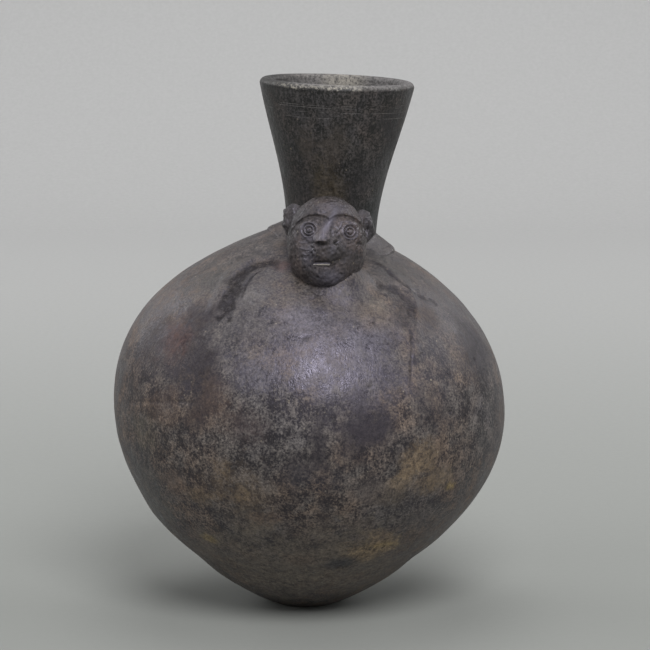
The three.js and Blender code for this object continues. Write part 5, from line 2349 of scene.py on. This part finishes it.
def body_clouds(form: BodyForm) -> tuple[StainAndLightPatch, ...]:
    """Patches of colour on the body: stains of the firing, darker patches on the flanks, where a pebble
    polished it most, and painted light: violet painted sheen over the upper front, painted bounce light on the
    underside and painted reflections down both sides.

    Args:
        form: The body.

    Returns:
        The stains, the broad ones first.
    """
    tan, yellow, brown, sand = (114, 98, 76), (134, 116, 70), (84, 68, 55), (103, 95, 83)
    red, blue, green = (84, 60, 52), (46, 46, 51), (76, 79, 73)
    dark, violet, umber = (42, 38, 37), (80, 77, 86), (38, 32, 27)
    stains = (
        # Polish over the upper front, in these two patches; their violet colour is a painted sheen.
        (4, 112, (36, 24, 27), violet, 0.45, -0.24),
        (20, 104, (16, 16, 20), violet, 0.3, -0.15),
        # Painted bounce light: the underside made paler and warmer, as if lit from the floor.
        (0, 24, (60, 57, 24), sand, 0.75, 0.05),
        (-58, 110, (20, 16, 14), umber, 0.6, 0.08),
        (-48, 112, (18, 16, 14), umber, 0.3, 0.1),
        (-50, 132, (22, 16, 9), (60, 60, 54), 0.4, 0.08),
        (56, 136, (16, 16, 8), (60, 59, 54), 0.35, 0.08),
        (-42, 118, (12, 11, 12), umber, 0.85, 0.1),
        (-45, 101, (13, 11, 13), umber, 0.5, 0.1),
        (-36, 107, (9, 9, 10), umber, 0.5, 0.1),
        (-36, 104, (9, 9, 13), (28, 24, 20), 0.4, 0.1),
        # Painted sheen: violet patches that spread the highlight to the left, down and up.
        (-17, 103, (12, 10, 10), (98, 95, 103), 0.4, 0.0),
        (-4, 122, (12, 10, 9), (100, 96, 103), 0.4, -0.05),
        (-62, 90, (16, 16, 13), umber, 0.35, 0.08),
        (66, 108, (11, 18, 17), (38, 36, 34), 0.8, 0.1),
        (49, 121, (8, 9, 9), (40, 37, 35), 0.5, 0.1),
        (38, 88, (12, 11, 12), (44, 41, 39), 0.4, 0.05),
        (2, 70, (9, 9, 8), dark, 0.4, 0.05),
        # Polish, its violet colour a painted sheen.
        (21, 116, (13, 12, 9), (92, 89, 98), 0.4, -0.14),
        (17, 84, (12, 10, 8), (36, 32, 33), 0.8, 0.05),
        (33, 71, (13, 11, 9), tan, 0.65, 0.05),
        (18, 60, (9, 9, 7), (94, 86, 80), 0.5, 0.05),
        (40, 46, (9, 9, 6), (88, 83, 78), 0.4, 0.05),
        (-54, 73, (11, 12, 10), (98, 92, 76), 0.35, 0.05),
        (-17, 83, (11, 9, 8), (68, 58, 54), 0.5, 0.05),
        (-18, 46, (14, 12, 8), sand, 0.5, 0.05),
        (25, 33, (12, 10, 9), (128, 112, 88), 0.6, 0.05),
        (26, 58, (10, 9, 8), (104, 94, 80), 0.4, 0.05),
        (-44, 57, (8, 9, 8), (108, 90, 76), 0.4, 0.05),
        (-23, 128, (7, 7, 8), (100, 97, 95), 0.4, -0.05),
        (28, 127, (7, 7, 6), (98, 94, 84), 0.3, -0.05),
        (-62, 45, (16, 22, 24), green, 0.4, 0.05),
        # Painted reflections: grey-green bands down both sides of the body.
        (-90, 60, (6, 20, 34), green, 0.5, 0.05),
        (90, 66, (6, 20, 30), green, 0.5, 0.05),
        (-20, 58, (22, 16, 15), tan, 0.3, 0.1),
        (-32, 97, (8, 9, 18), dark, 0.7, 0.25),
        (-34, 80, (9, 9, 10), dark, 0.35, 0.1),
        (3, 78, (4, 9, 14), dark, 0.65, 0.1),
        (12, 76, (9, 9, 9), dark, 0.45, 0.1),
        (-33, 54, (9, 9, 5), tan, 0.55, 0.06),
        (-20, 56, (5, 5, 6), tan, 0.4, 0.06),
        (-13, 48, (12, 9, 3.5), brown, 0.45, 0.06),
        (-38, 35, (4, 4, 2.5), yellow, 0.45, 0.06),
        (-25, 66, (5, 5, 6), tan, 0.35, 0.06),
        (29, 67, (5, 5, 5), tan, 0.4, 0.06),
        (33, 69, (4, 4, 3), tan, 0.4, 0.06),
        (40, 62, (12, 10, 7), tan, 0.55, 0.06),
        (26, 36, (12, 10, 8), tan, 0.5, 0.06),
        (24, 122, (9, 9, 7), tan, 0.3, 0.0),
        (47, 58, (3.5, 3.5, 2), yellow, 0.5, 0.06),
        (27, 63, (5, 5, 5), tan, 0.4, 0.06),
        (26, 33, (11, 9, 5.5), (128, 112, 88), 0.75, 0.06),
        (29, 35, (8, 8, 1.6), yellow, 0.35, 0.06),
        (-2, 29, (9, 8, 4), brown, 0.3, 0.06),
        (-4, 62, (3, 9, 16), dark, 0.35, 0.06),
        (5, 52, (2.5, 9, 14), dark, 0.3, 0.06),
        (-12, 66, (2, 9, 12), dark, 0.3, 0.06),
        (15, 27, (7.5, 6, 5), (36, 40, 43), 0.75, 0.0),
        (16, 85, (15, 10, 16), (44, 40, 42), 0.5, 0.06),
        (-1, 64, (20, 12, 7), blue, 0.3, 0.06),
        (-48, 110, (8, 12, 12), red, 0.4, 0.06),
        (-27, 91, (9, 9, 12), brown, 0.35, 0.06),
        (-45, 85, (12, 12, 9), brown, 0.4, 0.06),
        (-16, 138, (5, 5, 3), red, 0.5, 0.0),
        (75, 81, (5, 12, 9), brown, 0.4, 0.06),
        (-150, 90, (24, 20, 22), brown, 0.5, 0.06),
        (160, 60, (20, 20, 16), tan, 0.4, 0.06),
        (130, 110, (20, 20, 14), blue, 0.5, 0.0),
        (-120, 112, (16, 20, 14), violet, 0.4, -0.1),
        (175, 106, (30, 20, 16), violet, 0.4, -0.2),
    )
    return clouds_on(form, stains)


def neck_clouds(neck: NeckForm) -> tuple[StainAndLightPatch, ...]:
    """The stains of the firing on the neck, and a painted reflection down its left side.

    Args:
        neck: The neck.

    Returns:
        The stains.
    """
    olive, brown, green, dark = (69, 62, 51), (70, 63, 58), (58, 61, 57), (32, 30, 32)
    stains = (
        (-6, 20, (8, 7, 16), olive, 0.6, 0.0),
        (0, 38, (7, 7, 11), brown, 0.6, 0.0),
        (-28, 38, (5, 5, 8), brown, 0.5, 0.0),
        # Painted reflection: a grey-green band down the left side of the neck.
        (-88, 34, (4, 16, 30), green, 0.25, 0.1),
        (86, 34, (5, 16, 30), dark, 0.5, 0.2),
        (28, 24, (6, 8, 18), dark, 0.5, 0.0),
        (58, 46, (8, 12, 13), dark, 0.5, 0.1),
        (-40, 20, (7, 8, 14), dark, 0.4, 0.0),
        (40, 46, (9, 9, 6), dark, 0.4, 0.0),
        (180, 30, (12, 8, 18), brown, 0.4, 0.0),
    )
    return clouds_on(neck, stains)


def main() -> None:
    """Builds the bottle over its frame, and the studio round it."""
    body_form = BodyForm()
    marks = WallMarks(body_form)
    neck_form = NeckForm(body_form)
    body_clay = BurnishedClay(
        "body_clay", clouds=body_clouds(body_form), roughness=0.52, coarse=0.75, gloss=0.6,
        tint=(0.84, 0.78, 1.0),
    ).build()
    inner_clay = BurnishedClay("inner_clay", roughness=0.8).build()
    neck_look = dict(
        mid=(41, 39, 40), cool=(39, 40, 41), warm=(48, 43, 41), mottle=8.0, grain=6.0, streaks=4.4, wiped=2.2,
        roughness=0.5, specks=replace(BurnishedClay.specks, share=0.2), neck=neck_form,
    )
    neck_clay = WornRimClay("neck_clay", **neck_look, clouds=neck_clouds(neck_form), worn_from=66.0).build()
    rim_clay = WornRimClay("rim_clay", **neck_look).build()
    head_clay = ModelledClay(
        "head_clay", mid=(62, 58, 57), cool=(59, 59, 60), warm=(71, 60, 54), soot_and_shade=(28, 28, 25),
        mottle=3.4, grain=2.8, gloss=0.55, tint=(0.88, 0.83, 1.0),
    ).build()
    grit_clay = BurnishedClay("grit_clay", mid=(92, 87, 82), roughness=0.6).build()
    body = Body(body_form, marks, neck_form, body_clay).build()
    neck = Neck(neck_form, marks, neck_clay, rim_clay, body_clay).build()
    head = Head(HeadForm(body_form), marks, head_clay, body_clay).build()
    for node, piece in {**body, **neck, **head}.items():
        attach(piece, BODY)
        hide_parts(node)
        log.info("%s: %d faces", piece.name, len(piece.data.polygons))
    for piece in Grit(grit_clay).build([body["base_bowl"], body["shoulder_dome"]]):
        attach(piece, BODY)
        log.info("%s: %d faces", piece.name, len(piece.data.polygons))
    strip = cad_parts["seam_strip"]
    strip.data.materials.clear()
    strip.data.materials.append(inner_clay)
    log.info("seam_strip: dressed")
    Studio().build()


if __name__ == "__main__":
    main()
